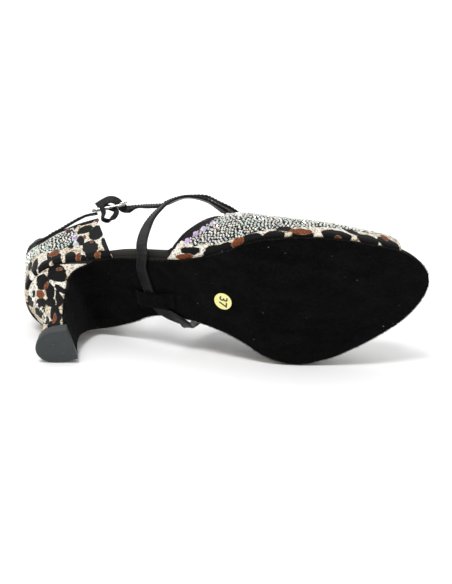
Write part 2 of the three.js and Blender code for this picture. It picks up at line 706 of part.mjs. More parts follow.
// From the medial edge of the waist over the instep to the buckle
const instepRun = [
  { along: 0.389, across: 0.170, up: -0.052, face: [-0.35, 0.55, -0.75] },
  { along: 0.397, across: 0.232, up: 0.02, face: [-0.1, 0.95, -0.2] },
  { along: 0.408, across: 0.275, up: 0.14, face: [0, 1, 0] },
  { along: 0.440, across: 0.318, up: 0.42, face: [0.1, 1, 0.1] },
  { along: 0.500, across: 0.310, up: 0.80, face: [0.1, 1, 0.1] },
  { along: 0.556, across: 0.235, up: 1.08, face: [0.3, 0.9, 0.3] },
  { along: 0.590, across: 0.110, up: 1.25, face: [0.6, 0.4, 0.6] },
  { along: 0.598, across: -0.020, up: 1.34, face: [0.7, 0, 0.7] },
  { along: 0.589, across: -0.125, up: 1.385, face: [0.6, -0.3, 0.7] },
  { along: 0.570, across: -0.185, up: 1.405, face: [0.5, -0.5, 0.7] },
  { along: 0.546, across: -0.230, up: 1.41, face: [0.4, -0.6, 0.7] },
  { along: 0.513, across: -0.280, up: 1.445, face: [0.2, -0.8, 0.6] },
  { along: 0.467, across: -0.317, up: 1.34, face: [0, -0.87, 0.49] },
  { along: 0.434, across: -0.342, up: 1.20, face: [0, -0.87, 0.49] },
  { along: 0.398, across: -0.363, up: 1.00, face: [0, -0.87, 0.49] },
  { along: 0.385, across: -0.343, up: 1.00, face: [0, -0.87, 0.49] },
  { along: 0.363, across: -0.325, up: 1.01, face: [0, -0.87, 0.49] },
  { along: 0.331, across: -0.291, up: 1.06, face: [0.1, -0.87, 0.49] },
]
// Under the buckle's front bar and over its middle. along and lift are millimetres in the buckle's
// own frame, and slope and level the parts of the face along it and away from the foot.
const humpRun = [
  { along: 12.4, lift: -passing - 1.0, slope: 0.0, level: 1 },
  { along: 10.4, lift: -passing - 0.7, slope: 0.2, level: 1 },
  { along: 8.2, lift: -1.9, slope: 0.7, level: 0.7 },
  { along: 6.8, lift: 0.6, slope: 0.9, level: 0.4 },
  { along: 5.2, lift: 3.2, slope: 0.7, level: 0.7 },
  { along: 1.6, lift: 4.9, slope: 0.1, level: 1 },
  { along: -3.4, lift: 3.8, slope: -0.4, level: 1 },
  { along: -7.2, lift: passing + 0.1, slope: -0.3, level: 1 },
]
const ankleAt = tableOf(ankleRun, 'around')
const medialHold = medialCorner.clone().add(new THREE.Vector3(-2.8, 0.2, 8.95))

function strap() {
  const awayFromFoot = new THREE.Vector3().setFromMatrixColumn(buckleTurn, 2)
  const alongBuckle = new THREE.Vector3().setFromMatrixColumn(buckleTurn, 0)
  const underBuckle = [-7.6, -10.6]
  const rows = [
    ...underBuckle.map((along) => ({
      place: byBuckle(along, -passing - 0.1),
      face: awayFromFoot.toArray(),
    })),
    ...spread(ankleRun[0].around, ankleRun.at(-1).around, 26)
      .map((around) => onCounter({ around, ...ankleAt(around) })),
    { place: medialHold, face: [0, 1, 0] },
    ...crossRun.map(inAir),
    ...waistRun.map(underSole),
    ...instepRun.map(inAir),
    ...humpRun.map(({ along, lift, slope, level }) => ({
      place: byBuckle(along, lift),
      face: awayFromFoot.clone().multiplyScalar(level).addScaledVector(alongBuckle, slope).toArray(),
    })),
  ]
  const whole = sweep(strapPath(rows, strapSteps), strapSection(strapWidth, strapThickness))
  return cut(whole, buckleProng(prongRadius + clearance))
}

// The loop of suede that holds the strap against the sole's waist
function soleLoop() {
  const rest = (loopThickness + clearance) / 2
  const bridge = clearance + strapThickness + rest
  const [front, back] = [
    [{ along: 0.383, off: rest }, { along: 0.3725, off: rest }, { along: 0.361, off: bridge }],
    [{ along: 0.305, off: bridge }, { along: 0.2935, off: rest }, { along: 0.283, off: rest }],
  ]
  const rows = [...front, { along: 0.333, off: bridge + 0.25 }, ...back]
  const path = strapPath(rows.map((row) => underSole({ ...row, across: 0.004 })), 18)
  return sweep(path, strapSection(soleLoopWidth, loopThickness))
}

// The loop sewn to the counter's lateral corner: up outside the buckle's near wire, through the frame
// and back inside the wire, in millimetres of the buckle's own frame
const lateralLoopRun = [
  { along: -5.6, across: -13.0, lift: -6.8, face: [-0.6, -0.6, -0.2] },
  { along: -5.0, across: -9.4, lift: -2.6, face: [-0.5, -0.7, 0.5] },
  { along: -4.0, across: -6.4, lift: 1.1, face: [0, -0.7, 0.7] },
  { along: -3.2, across: -4.6, lift: 2.0, face: [0, 0.2, 1] },
  { along: -1.2, across: -3.1, lift: 0.9, face: [0, 1, 0.3] },
  { along: 1.6, across: -3.1, lift: -0.9, face: [0, 1, -0.3] },
  { along: 3.4, across: -4.6, lift: -2.1, face: [0, 0.2, -1] },
  { along: 4.0, across: -7.4, lift: -3.8, face: [0.4, -0.3, -0.9] },
  { along: 2.0, across: -11.0, lift: -6.6, face: [0.6, -0.2, -0.8] },
  { along: -1.6, across: -13.2, lift: -8.4, face: [0.1, -0.6, -0.8] },
]
function lateralLoop() {
  const turn = new THREE.Matrix4().extractRotation(buckleTurn)
  const rows = lateralLoopRun.map(({ along, across, lift, face }) => ({
    place: new THREE.Vector3(along, across, lift).applyMatrix4(buckleTurn),
    face: new THREE.Vector3(...face).applyMatrix4(turn).toArray(),
  }))
  return sweep(strapPath(rows, 36, true), strapSection(loopWidth / 2, loopThickness), true)
}

// The loop over the counter's medial corner goes round the strap
function medialLoop() {
  const beside = (loopThickness + strapThickness) / 2 + 2.6 * clearance
  const above = (loopThickness + strapWidth) / 2 + 3 * clearance
  const half = [
    [0, -above],
    [0.75 * beside, 0.08 - above],
    [beside, -0.7 * above],
    [beside, 0.7 * above],
    [0.75 * beside, above - 0.08],
  ]
  const ring = [...half, ...half.map(([across, lift]) => [-across, -lift])]
  const path = ring.map(([across, lift]) => ({
    place: medialHold.clone().add(new THREE.Vector3(0, across, lift)),
    face: new THREE.Vector3(0, across / beside, lift / above),
  }))
  return sweep(path, strapSection(loopWidth, loopThickness), true)
}

// The round size sticker lies on the sole's slope
function sizeSticker() {
  const x = 0.491 * length
  const [here, ahead] = [station(x), station(x + 1)]
  const slope = Math.atan2(ahead.board - here.board, 1)
  const radius = stickerDiameter / 2
  const disc = new THREE.CylinderGeometry(radius, radius, stickerThickness, 28)
  disc.rotateX(Math.PI / 2)
  disc.translate(0, 0, -(soleThickness + 2 * clearance + stickerThickness / 2))
  disc.rotateY(-slope)
  return disc.translate(x, -3.6, here.board)
}

// Materials, with the density that sets how the shoe lies
const materials = {
  suede: { color: 0x0b0b0c, roughness: 0.95, metalness: 0, density: 0.8 },
  insole: { color: 0x1b1a16, roughness: 0.8, metalness: 0, density: 0.85 },
  print: { color: 0xd9c7a4, roughness: 0.6, metalness: 0, density: 1.15 },
  tip: { color: 0x35393b, roughness: 0.5, metalness: 0, density: 1.15 },
  satin: { color: 0x0d0d0f, roughness: 0.4, metalness: 0, density: 1.1 },
  plated: { color: 0xc9c9c6, roughness: 0.2, metalness: 1, density: 7.5 },
  paper: { color: 0xf1eea0, roughness: 0.6, metalness: 0, density: 0.8 },
}

const pieces = [
  ['outsole', outsole(), 'suede'],
  ['insole', insole(), 'insole'],
  ['heel', heel(), 'print'],
  ['top_piece', topPiece(), 'tip'],
  ['vamp', vamp(), 'print'],
  ['counter', counter(), 'print'],
  ['throat_binding', throatBinding(), 'satin'],
  ['topline_binding', toplineBinding(), 'satin'],
  ['strap', strap(), 'satin'],
  ['sole_strap_loop', soleLoop(), 'suede'],
  ['strap_loop_lateral', lateralLoop(), 'satin'],
  ['strap_loop_medial', medialLoop(), 'satin'],
  ['buckle_frame', buckleFrame(), 'plated'],
  ['buckle_prong', buckleProng(prongRadius), 'plated'],
  ['size_sticker', sizeSticker(), 'paper'],
]

// The shoe lies where its weight falls inside three points of its medial side
function restingPlane(meshes) {
  let mass = 0
  const centre = new THREE.Vector3()
  const points = []
  for (const [, geometry, finish] of meshes) {
    const density = materials[finish].density
    for (const [a, b, c] of triangles(geometry)) {
      const part = (a.dot(b.clone().cross(c)) / 6) * density
      mass += part
      centre.addScaledVector(a.clone().add(b).add(c), part / 4)
      points.push(a)
    }
  }
  centre.divideScalar(mass)
  const outermost = new Set()
  for (const pitch of spread(-40, 40, 40)) {
    for (const turn of spread(-40, 40, 40)) {
      const [a, b] = [pitch, turn].map(THREE.MathUtils.degToRad)
      const look = new THREE.Vector3(Math.sin(a), Math.cos(a) * Math.cos(b), Math.sin(b))
      outermost.add(points.reduce((best, v) => (v.dot(look) > best.dot(look) ? v : best)))
    }
  }
  const corners = [...outermost]
  const touching = (a, b, c) => {
    const normal = b.clone().sub(a).cross(c.clone().sub(a)).normalize()
    if (normal.y < 0) normal.negate()
    const reach = normal.dot(a)
    if (normal.y < 0.7 || corners.some((v) => normal.dot(v) > reach + 0.02)) return null
    const under = centre.clone().addScaledVector(normal, reach - normal.dot(centre))
    const turnAbout = ([p, q]) => q.clone().sub(p).cross(under.clone().sub(p)).dot(normal) > 0
    const turns = [[a, b], [b, c], [c, a]].map(turnAbout)
    return turns.every((turn) => turn === turns[0]) ? normal : null
  }
  for (let i = 0; i < corners.length; i += 1) {
    for (let j = i + 1; j < corners.length; j += 1) {
      for (let k = j + 1; k < corners.length; k += 1) {
        const normal = touching(corners[i], corners[j], corners[k])
        if (normal) return normal
      }
    }
  }
  return new THREE.Vector3(0, 1, 0)
}

const down = restingPlane(pieces)
const up = down.clone().negate()
const ahead = new THREE.Vector3(1, 0, 0).addScaledVector(up, -up.x).normalize()
const acrossFloor = up.clone().cross(ahead)
const lay = new THREE.Matrix4().makeBasis(ahead, acrossFloor, up).transpose()

const lying = new THREE.Group()
lying.setRotationFromMatrix(lay)
for (const [name, geometry, finish] of pieces) {
  const { density, ...look } = materials[finish]
  const mesh = new THREE.Mesh(geometry, new THREE.MeshStandardMaterial(look))
  mesh.name = name
  mesh.userData.density = density
  lying.add(mesh)
}
const group = new THREE.Group()
group.add(lying)
group.updateMatrixWorld(true)
const box = new THREE.Box3().setFromObject(group, true)
lying.position.set(-(box.min.x + box.max.x) / 2, -(box.min.y + box.max.y) / 2, -box.min.z)

export default group
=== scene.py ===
"""A ballroom dance sandal for the right foot, lying on its medial side on a white floor."""

import bpy
import numpy as np
from mathutils import Matrix, Vector


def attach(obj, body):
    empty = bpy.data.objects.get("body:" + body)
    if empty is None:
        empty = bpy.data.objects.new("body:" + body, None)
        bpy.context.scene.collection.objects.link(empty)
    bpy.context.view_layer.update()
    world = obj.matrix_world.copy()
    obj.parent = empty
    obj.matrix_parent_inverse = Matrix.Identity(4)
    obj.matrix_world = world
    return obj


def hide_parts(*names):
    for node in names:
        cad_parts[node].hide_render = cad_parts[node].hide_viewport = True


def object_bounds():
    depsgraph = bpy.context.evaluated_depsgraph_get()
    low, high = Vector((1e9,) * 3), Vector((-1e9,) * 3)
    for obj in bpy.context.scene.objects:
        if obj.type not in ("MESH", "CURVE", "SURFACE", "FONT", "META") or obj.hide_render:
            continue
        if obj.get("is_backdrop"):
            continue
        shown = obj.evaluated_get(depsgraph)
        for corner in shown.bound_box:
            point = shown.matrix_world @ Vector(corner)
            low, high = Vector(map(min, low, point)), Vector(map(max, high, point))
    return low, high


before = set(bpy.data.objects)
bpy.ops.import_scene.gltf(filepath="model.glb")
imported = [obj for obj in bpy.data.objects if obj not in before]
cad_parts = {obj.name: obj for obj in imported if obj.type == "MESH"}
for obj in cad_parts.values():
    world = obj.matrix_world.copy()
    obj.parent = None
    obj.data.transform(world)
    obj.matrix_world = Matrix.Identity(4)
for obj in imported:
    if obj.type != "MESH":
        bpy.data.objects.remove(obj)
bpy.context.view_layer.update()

# The outsole is one sheet of split leather with its brushed suede side to the floor, cemented
# under the board, round the corner at the waist and down the breast of the heel. Its cut edge
# sheds a short fuzz, and the nap is stroked darker and lighter by the brush.


class Table:
    """Rows with named columns, read as a cubic that never overshoots them"""

    def __init__(self, columns, *rows):
        self.names = columns.split()[1:]
        self.rows = np.array(rows, float)
        self.key = self.rows[:, 0]
        secant = np.diff(self.rows[:, 1:], axis=0) / np.diff(self.key)[:, None]
        product, total = secant[:-1] * secant[1:], secant[:-1] + secant[1:]
        middle = np.where(product > 0, 2 * product / np.where(total == 0, 1, total), 0)
        self.slope = np.vstack([secant[:1], middle, secant[-1:]])

    def at(self, value):
        value = np.asarray(value, float)
        i = np.searchsorted(self.key[1:-1], value)
        step = self.key[i + 1] - self.key[i]
        s = np.clip((value - self.key[i]) / step, 0, 1)[..., None]
        step, start, end = step[..., None], self.rows[i, 1:], self.rows[i + 1, 1:]
        cubic = start * (1 + 2 * s) * (1 - s) ** 2 + end * s * s * (3 - 2 * s)
        cubic = cubic + step * (self.slope[i] * s * (1 - s) ** 2 - self.slope[i + 1] * s * s * (1 - s))
        return {name: cubic[..., n] for n, name in enumerate(self.names)}


length, ball_width, heel_rise, instep_height = 228.3, 80.6, 55.5, 66.0
heel_width, heel_length, counter_height = 44.6, 41.5, 46.5
sole_thickness, insole_thickness, upper_wall, clearance = 1.8, 6.6, 1.7, 0.3
swell, medial_swell = 6.0, 0.6
toe_start, toe_power, toe_root = 0.859, 3.6, 0.55
heel_start, heel_power, heel_inset = 0.125, 2.15, 2.9
lateral, medial = -1, 1
sole_stack = sole_thickness + clearance
last_shape = Table(
    "along rise centre half bulge pad",
    (0.000, 1.010, 0.012, 0.278, 0.40, 1.00),
    (0.070, 1.000, 0.014, 0.278, 0.42, 1.00),
    (0.180, 0.964, 0.016, 0.277, 0.60, 1.00),
    (0.267, 0.811, -0.028, 0.259, 0.82, 1.00),
    (0.311, 0.712, -0.062, 0.230, 0.95, 1.00),
    (0.355, 0.595, -0.080, 0.219, 1.00, 1.00),
    (0.399, 0.468, -0.088, 0.228, 1.00, 1.00),
    (0.442, 0.348, -0.092, 0.258, 0.92, 0.98),
    (0.486, 0.234, -0.091, 0.304, 0.82, 0.95),
    (0.530, 0.135, -0.079, 0.368, 0.72, 0.92),
    (0.574, 0.054, -0.057, 0.447, 0.62, 0.90),
    (0.618, 0.013, -0.032, 0.486, 0.54, 0.87),
    (0.661, 0.000, -0.014, 0.496, 0.48, 0.84),
    (0.727, 0.000, 0.002, 0.476, 0.46, 0.80),
    (0.793, 0.007, 0.008, 0.427, 0.46, 0.76),
    (0.859, 0.027, 0.018, 0.355, 0.46, 0.72),
    (1.000, 0.135, 0.040, 0.191, 0.44, 0.66),
)


def spot(*axes):
    """Points from their axes, which may be arrays or plain numbers"""
    return np.stack(np.broadcast_arrays(*axes), -1)


def unit(vectors):
    return vectors / (np.linalg.norm(vectors, axis=-1, keepdims=True) + 1e-12)


def station(x):
    """The sole's middle and half width, the board's height, the swell by side and the sock's height"""
    along = np.clip(np.asarray(x, float) / length, 0, 1)
    row = last_shape.at(along)
    toe = np.clip((along - toe_start) / (1 - toe_start), 0, 1)
    heel = np.clip((heel_start * length - x) / (heel_start * length - heel_inset), 0, 1)
    half = row["half"] * ball_width * (1 - toe**toe_power) ** toe_root
    half = half * (1 - heel**heel_power) ** (1 / heel_power)
    least, shares = upper_wall + 3 * clearance, {lateral: 1, medial: medial_swell}
    swells = {side: np.maximum(row["bulge"] * swell * shares[side], least) for side in shares}
    board = sole_stack + row["rise"] * heel_rise
    return row["centre"] * ball_width, half, board, swells, row["pad"] * insole_thickness


lying = np.array([
    [0.976673, 0.208862, -0.049864], [0, 0.232215, 0.972664], [0.214732, -0.949975, 0.226798],
])
lying_shift = np.array([-109.956416, -52.945033, 6.018747])


def laid(points):
    """Shoe millimetres, drawn standing, as metres where the shoe lies"""
    return (np.asarray(points, float) @ lying.T + lying_shift) / 1000


class Nodes:
    """A tree of nodes, each from node(), whose inputs are plain values or readings of other nodes"""

    def node(self, kind, settings=None, inputs=None, output=0):
        made = self.tree.nodes.new(kind)
        for name, value in (settings or {}).items():
            setattr(made, name, value)
        for name, value in (inputs or {}).items():
            if isinstance(value, Reading):
                self.tree.links.new(value.socket, made.inputs[name])
            else:
                made.inputs[name].default_value = value
        return Reading(self, made.outputs[output])


class Reading:
    """What a node gives, changing over a surface; arithmetic on numbers adds Math nodes"""

    def __init__(self, nodes, socket):
        self.nodes, self.socket = nodes, socket

    def maths(self, operation, *values):
        return self.nodes.node("ShaderNodeMath", {"operation": operation}, dict(enumerate(values)))

    def __add__(self, other):
        return self.maths("ADD", self, other)

    def __sub__(self, other):
        return self.maths("SUBTRACT", self, other)

    def __rsub__(self, other):
        return self.maths("SUBTRACT", other, self)

    def __mul__(self, other):
        return self.maths("MULTIPLY", self, other)

    __radd__, __rmul__ = __add__, __mul__

    def rise(self, low, high):
        """0 below low and 1 above high, with a smooth step between"""
        inputs = {"Value": self, "From Min": low, "From Max": high}
        return self.nodes.node("ShaderNodeMapRange", {"interpolation_type": "SMOOTHSTEP"}, inputs)


class Finish(Nodes):
    """One material, with sizes in millimetres"""

    def __init__(self, name, **shader):
        self.material = bpy.data.materials.new(name)
        self.material.use_nodes = True
        self.tree = self.material.node_tree
        self.shader = self.tree.nodes["Principled BSDF"]
        for socket, value in shader.items():
            self.shader.inputs[socket.replace("_", " ")].default_value = value
        place = self.node("ShaderNodeTexCoord", output="Object")
        self.place = self.node("ShaderNodeVectorMath", {"operation": "SCALE"}, {0: place, "Scale": 1000})

    def noise(self, size, detail=2.0, stretch=None):
        place = self.place
        if stretch:
            place = self.node("ShaderNodeVectorMath", {"operation": "MULTIPLY"}, {0: place, 1: stretch})
        return self.node("ShaderNodeTexNoise", None, {"Vector": place, "Scale": 1 / size, "Detail": detail})

    def mark(self, name):
        return self.node("ShaderNodeAttribute", {"attribute_name": name}, output="Fac")

    def mix(self, share, first, second):
        inputs = {0: share, 6: first, 7: second}
        return self.node("ShaderNodeMix", {"data_type": "RGBA"}, inputs, output=2)

    def feed(self, **inputs):
        for name, value in inputs.items():
            self.tree.links.new(value.socket, self.shader.inputs[name.replace("_", " ")])

    def bump(self, height, depth):
        inputs = {"Height": height, "Distance": depth / 1000, "Strength": 1.0}
        return self.node("ShaderNodeBump", None, inputs)


def colour(red, green, blue):
    """A colour as the eye reads it, 0 to 255, for the shader"""
    shares = np.array([red, green, blue]) / 255
    return (*np.where(shares < 0.04045, shares / 12.92, ((shares + 0.055) / 1.055) ** 2.4), 1.0)


def suede(name, dark, light, nap):
    """Brushed split leather: a short nap stroked lighter and darker, with specks of lint"""
    finish = Finish(name, Roughness=1.0, Specular_IOR_Level=0.03, Sheen_Weight=0.02, Sheen_Roughness=0.6)
    strokes = finish.noise(9, 3, (0.5, 1.6, 1.2))
    fibres = finish.noise(nap, 4)
    lint = finish.noise(1.3, 1, (0.5, 1.4, 1.0)).rise(0.80, 0.83)
    tufts = finish.noise(1.6, 3)
    shade = (strokes * 0.5 + fibres * 0.35 + tufts * 0.5).rise(0.5, 0.95)
    base = finish.mix(shade, colour(*dark), colour(*light))
    finish.feed(
        Base_Color=finish.mix(lint, base, colour(150, 150, 146)),
        Normal=finish.bump(fibres + tufts * 0.8, 0.5),
    )
    return finish.material


sole_suede = suede("sole_suede", (0, 0, 0), (13, 13, 14), 0.4)
# The cut edge and its fuzz are paler: partly lint, partly a painted highlight where the edge catches the
# light.
edge_suede_lint_and_highlight = suede("edge_suede_lint_and_highlight", (8, 8, 8), (62, 60, 56), 0.3)


def closed(faces, points):
    """The faces, turned to look outwards"""
    first, second, third = (points[[face[n] for face in faces]] for n in (0, 1, 2))
    outward = np.einsum("ij,ij->i", first, np.cross(second, third)).sum()
    return faces if outward > 0 else [face[::-1] for face in faces]


def wall(outer, inner):
    """Points and faces of a wall between two grids, and each face's side: 0 out, 1 in, 2 its edges"""
    rows, columns = outer.shape[:2]
    points = np.concatenate([outer.reshape(-1, 3), inner.reshape(-1, 3)])
    index = np.arange(2 * rows * columns).reshape(2, rows, columns)
    faces = []
    for layer, turn in ((index[0], 1), (index[1], -1)):
        quads = [layer[:-1, :-1], layer[:-1, 1:], layer[1:, 1:], layer[1:, :-1]]
        quads = np.stack(quads, -1).reshape(-1, 4)
        faces += quads[:, ::turn].tolist()
    rim = [index[:, 0, :-1], index[:, :-1, -1], index[:, -1, :0:-1], index[:, :0:-1, 0]]
    rim = np.concatenate(rim, axis=1)
    following = np.roll(rim, -1, axis=1)
    faces += np.stack([rim[0], rim[1], following[1], following[0]], -1).tolist()
    return points, faces, np.repeat([0, 1, 2], [len(quads), len(quads), rim.shape[1]])


def linked(name, data):
    made = bpy.data.objects.new(name, data)
    bpy.context.scene.collection.objects.link(made)
    return made


def kept(name, mesh, node=None):
    """A finished mesh that rides on the shoe, in place of the solid it stands for"""
    made = linked(name, mesh)
    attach(made, "root")
    if node:
        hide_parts(node)


def marked(mesh, marks):
    """Stores named numbers on a mesh's points"""
    for label, values in marks.items():
        layer = mesh.attributes.new(label, "FLOAT", "POINT")
        layer.data.foreach_set("value", np.asarray(values, np.float32).ravel())


def piece(name, points, faces, finishes, slot, node, marks=None, choose=None):
    """A piece from points in the shoe's millimetres, laid in place"""
    points = laid(points)
    mesh = bpy.data.meshes.new(name)
    mesh.from_pydata(points.tolist(), [], closed(faces, points - points.mean(0)))
    for finish in finishes:
        mesh.materials.append(finish)
    marked(mesh, marks or {})
    if choose is not None:
        mesh.polygons.foreach_set("material_index", np.asarray(choose, np.int32))
    mesh.shade_smooth()
    mesh.set_sharp_from_angle(angle=0.7)
    mesh.update()
    kept(name, mesh, node)


breast_share, heel_foot = 0.97, 7.3
heel_shape = Table(
    "height back front half centre skew",
    (0.00, 0.128, 0.572, 0.226, 0.000, 0.14),
    (0.13, 0.178, 0.572, 0.229, 0.006, 0.14),
    (0.27, 0.245, 0.576, 0.233, 0.013, 0.14),
    (0.44, 0.288, 0.596, 0.252, 0.020, 0.14),
    (0.58, 0.262, 0.631, 0.290, 0.027, 0.14),
    (0.74, 0.172, 0.689, 0.356, 0.034, 0.14),
    (0.86, 0.112, 0.757, 0.424, 0.036, 0.12),
    (0.935, 0.084, 0.862, 0.460, 0.034, 0.05),
    (0.955, 0.078, 0.940, 0.470, 0.032, 0.00),
)
# Troughs and ridges pressed into a sheet: place, how far it runs and how wide it is, which way it
# runs in degrees, and its depth. A ridge has a depth below nought.
sole_creases = (
    (84.0, -5.0, 16.0, 2.6, 82, 0.30),
    (96.0, -12.0, 14.0, 3.2, 76, 0.22),
    (122.0, -4.0, 26.0, 5.0, 86, 0.25),
    (138.0, 4.0, 30.0, 6.5, 94, 0.30),
    (150.0, -10.0, 24.0, 5.0, 98, -0.20),
    (176.0, 8.0, 22.0, 7.0, 70, 0.22),
    (200.0, -2.0, 16.0, 5.0, 110, -0.16),
)


def turned(across, along, x, y, turn):
    """How far points lie along a line through x and y, turned by so many degrees, and aside of it"""
    c, s = np.cos(np.radians(turn)), np.sin(np.radians(turn))
    return (across - x) * c + (along - y) * s, (along - y) * c - (across - x) * s


def creased(outer, inner, across, along, rows, fade=1):
    """A wall's outer grid with its creases pressed in, and the way it looks there"""
    out = unit(np.cross(np.gradient(outer, axis=0), np.gradient(outer, axis=1)))
    out *= np.sign(np.sum(out * (outer - inner), -1, keepdims=True))
    depth = 0
    for x, y, reach, width, turn, deep in rows:
        run, aside = turned(across, along, x, y, turn)
        depth = depth + deep * np.exp(-((run / reach) ** 2) - (aside / width) ** 2)
    return outer - out * (depth * fade)[..., None], out


spread, toe_edge = np.linspace(0, 1, 170), length - 0.25
run_x = toe_edge - (toe_edge - heel_length - 2) * (0.35 * spread**2 + 0.65 * spread)
run_centre, run_half, run_board, *_ = station(run_x)
breast_foot, breast_bend, breast_top = (heel_foot - sole_stack) / heel_rise, 0.74, 0.955
breast_height = [np.linspace(breast_top, breast_bend, 16), np.linspace(breast_bend, breast_foot, 26)[1:]]
breast_height = np.concatenate(breast_height)
breast = heel_shape.at(breast_height)
line_x = np.append(run_x, breast["front"] * heel_length)[:, None]
line_z = np.append(run_board, breast_height * heel_rise + sole_stack)[:, None]
line_centre = np.append(run_centre, breast["centre"] * heel_width)[:, None]
line_half = np.append(run_half, breast_share * breast["half"] * heel_width)[:, None]
line_skew = np.append(0 * run_x, breast["skew"])[:, None]
line_ahead = unit(np.gradient(np.hstack([line_x, line_z]), axis=0))
across_sole = np.sin(np.linspace(-1, 1, 49) * np.pi / 2)


def sole_sheet(depth):
    across = across_sole * line_half
    x = line_x + line_skew * across - line_ahead[:, 1:] * depth
    return spot(x, line_centre + across, line_z + line_ahead[:, :1] * depth)


rounded = 0.35 * np.clip((np.abs(across_sole) - 0.985) / 0.015, 0, 1) ** 2
tread, upper_face = sole_sheet(sole_stack - rounded), sole_sheet(clearance)
inside_edge = 1 - np.abs(across_sole) ** 6
tread, _ = creased(tread, upper_face, tread[..., 0], tread[..., 1], sole_creases, inside_edge)
sole_points, sole_faces, sole_sides = wall(tread, upper_face)
piece(
    "suede_outsole", sole_points, sole_faces, [sole_suede, edge_suede_lint_and_highlight], "suede", "outsole",
    choose=np.array([0, 0, 1])[sole_sides],
)


def settled(name, carrier):
    """The mesh that an object comes to; the object itself goes"""
    graph = bpy.context.evaluated_depsgraph_get()
    mesh = bpy.data.meshes.new_from_object(carrier.evaluated_get(graph))
    bpy.data.objects.remove(carrier)
    mesh.name = name
    return mesh


class Grower(Nodes):
    """A Geometry Nodes tree that sets small things on points, with named sizes"""

    def __init__(self, name, **sizes):
        self.tree = bpy.data.node_groups.new(name, "GeometryNodeTree")
        face = self.tree.interface
        face.new_socket(name="Points", in_out="INPUT", socket_type="NodeSocketGeometry")
        self.inputs = {}
        for label, value in sizes.items():
            socket = face.new_socket(name=label, in_out="INPUT", socket_type="NodeSocketFloat")
            socket.default_value = value
            self.inputs[label] = socket.identifier
        face.new_socket(name="Things", in_out="OUTPUT", socket_type="NodeSocketGeometry")
        self.start = self.tree.nodes.new("NodeGroupInput")
        self.end = self.tree.nodes.new("NodeGroupOutput")

    def given(self, label):
        return Reading(self, self.start.outputs[label])

    def named(self, label, kind="FLOAT"):
        return self.node("GeometryNodeInputNamedAttribute", {"data_type": kind}, {"Name": label})

    def sized(self, x, y, z):
        inputs = {"X": self.given(x), "Y": self.given(y), "Z": self.given(z)}
        return self.node("ShaderNodeCombineXYZ", None, inputs)

    def set_on_points(self, thing, scale, material, smooth):
        """Stands each thing on its point, its x along the heading, and makes them real"""
        align, heading = "FunctionNodeAlignRotationToVector", self.named("heading", "FLOAT_VECTOR")
        up = self.node(align, {"axis": "Z"}, {"Vector": self.named("facing", "FLOAT_VECTOR")})
        upright = self.node(align, {"axis": "X", "pivot_axis": "Z"}, {"Rotation": up, "Vector": heading})
        inputs = {"Points": self.given("Points"), "Instance": thing, "Rotation": upright, "Scale": scale}
        placed = self.node("GeometryNodeInstanceOnPoints", None, inputs)
        real = self.node("GeometryNodeRealizeInstances", None, {"Geometry": placed})
        glint = self.node("FunctionNodeRandomValue", {"data_type": "FLOAT"}, {"Seed": 5}, output=1)
        by_face, inputs = {"data_type": "FLOAT", "domain": "FACE"}, {"Geometry": real, "Name": "glint"}
        real = self.node("GeometryNodeStoreNamedAttribute", by_face, {**inputs, "Value": glint})
        real = self.node("GeometryNodeSetShadeSmooth", None, {"Geometry": real, "Shade Smooth": smooth})
        real = self.node("GeometryNodeSetMaterial", None, {"Geometry": real, "Material": material})
        self.tree.links.new(real.socket, self.end.inputs[0])

    def grow(self, name, slot, points, facing, heading, marks=None, **sizes):
        """Runs the tree over points in shoe millimetres and keeps the result as a plain mesh"""
        mesh = bpy.data.meshes.new(name + "_points")
        mesh.from_pydata(laid(points).tolist(), [], [])
        for label, vectors in (("facing", facing), ("heading", heading)):
            layer = mesh.attributes.new(label, "FLOAT_VECTOR", "POINT")
            vectors = np.asarray(vectors, float) @ lying.T
            layer.data.foreach_set("vector", vectors.astype(np.float32).ravel())
        marked(mesh, {"size": np.ones(len(points)), **(marks or {})})
        carrier = linked(name + "_carrier", mesh)
        modifier = carrier.modifiers.new("grow", "NODES")
        modifier.node_group = self.tree
        for label, value in sizes.items():
            modifier[self.inputs[label]] = float(value)
        kept(name, settled(name, carrier))


fuzz = Grower("suede_fuzz", Length=0.0011, Thickness=0.00006)
hair_foot, hair_reach = fuzz.given("Thickness"), fuzz.given("Length")
cone = {"Vertices": 3, "Radius Top": 0.0, "Radius Bottom": hair_foot, "Depth": hair_reach}
fuzz.set_on_points(fuzz.node("GeometryNodeMeshCone", None, cone), fuzz.named("size"), edge_suede_lint_and_highlight, True)
chance, hairs = np.random.default_rng(11), 14000
rim_points, rim_facing = [], []
for side in (0, -1):
    off_edge = unit(np.cross(np.gradient(tread[:, side], axis=0), [0, 0, 1.0]))
    outward = tread[:, side] - tread[:, tread.shape[1] // 2]
    off_edge *= np.sign(np.sum(off_edge * outward, axis=1, keepdims=True))
    row = chance.random(hairs) * (len(tread) - 1.001)
    first, part = row.astype(int), (row % 1)[:, None]
    both = (tread[:, side], upper_face[:, side])
    low, high = (edge[first] * (1 - part) + edge[first + 1] * part for edge in both)
    lift = chance.random((hairs, 1)) ** 2
    rim_points.append(low * (1 - lift) + high * lift)
    rim_facing.append(off_edge[first] + 0.45 * chance.normal(size=(hairs, 3)))
rim_points, rim_facing = np.vstack(rim_points), np.vstack(rim_facing)
rim_marks = {"size": 0.4 + chance.random(len(rim_points))}
fuzz.grow("outsole_edge_fuzz", "suede", rim_points, rim_facing, np.ones_like(rim_facing), rim_marks)

# The insole is a board with a foam pad, wrapped in dark microfibre that shows as a band between
# the open waist of the upper and the sole. The sock is stitched once round inside its edge.


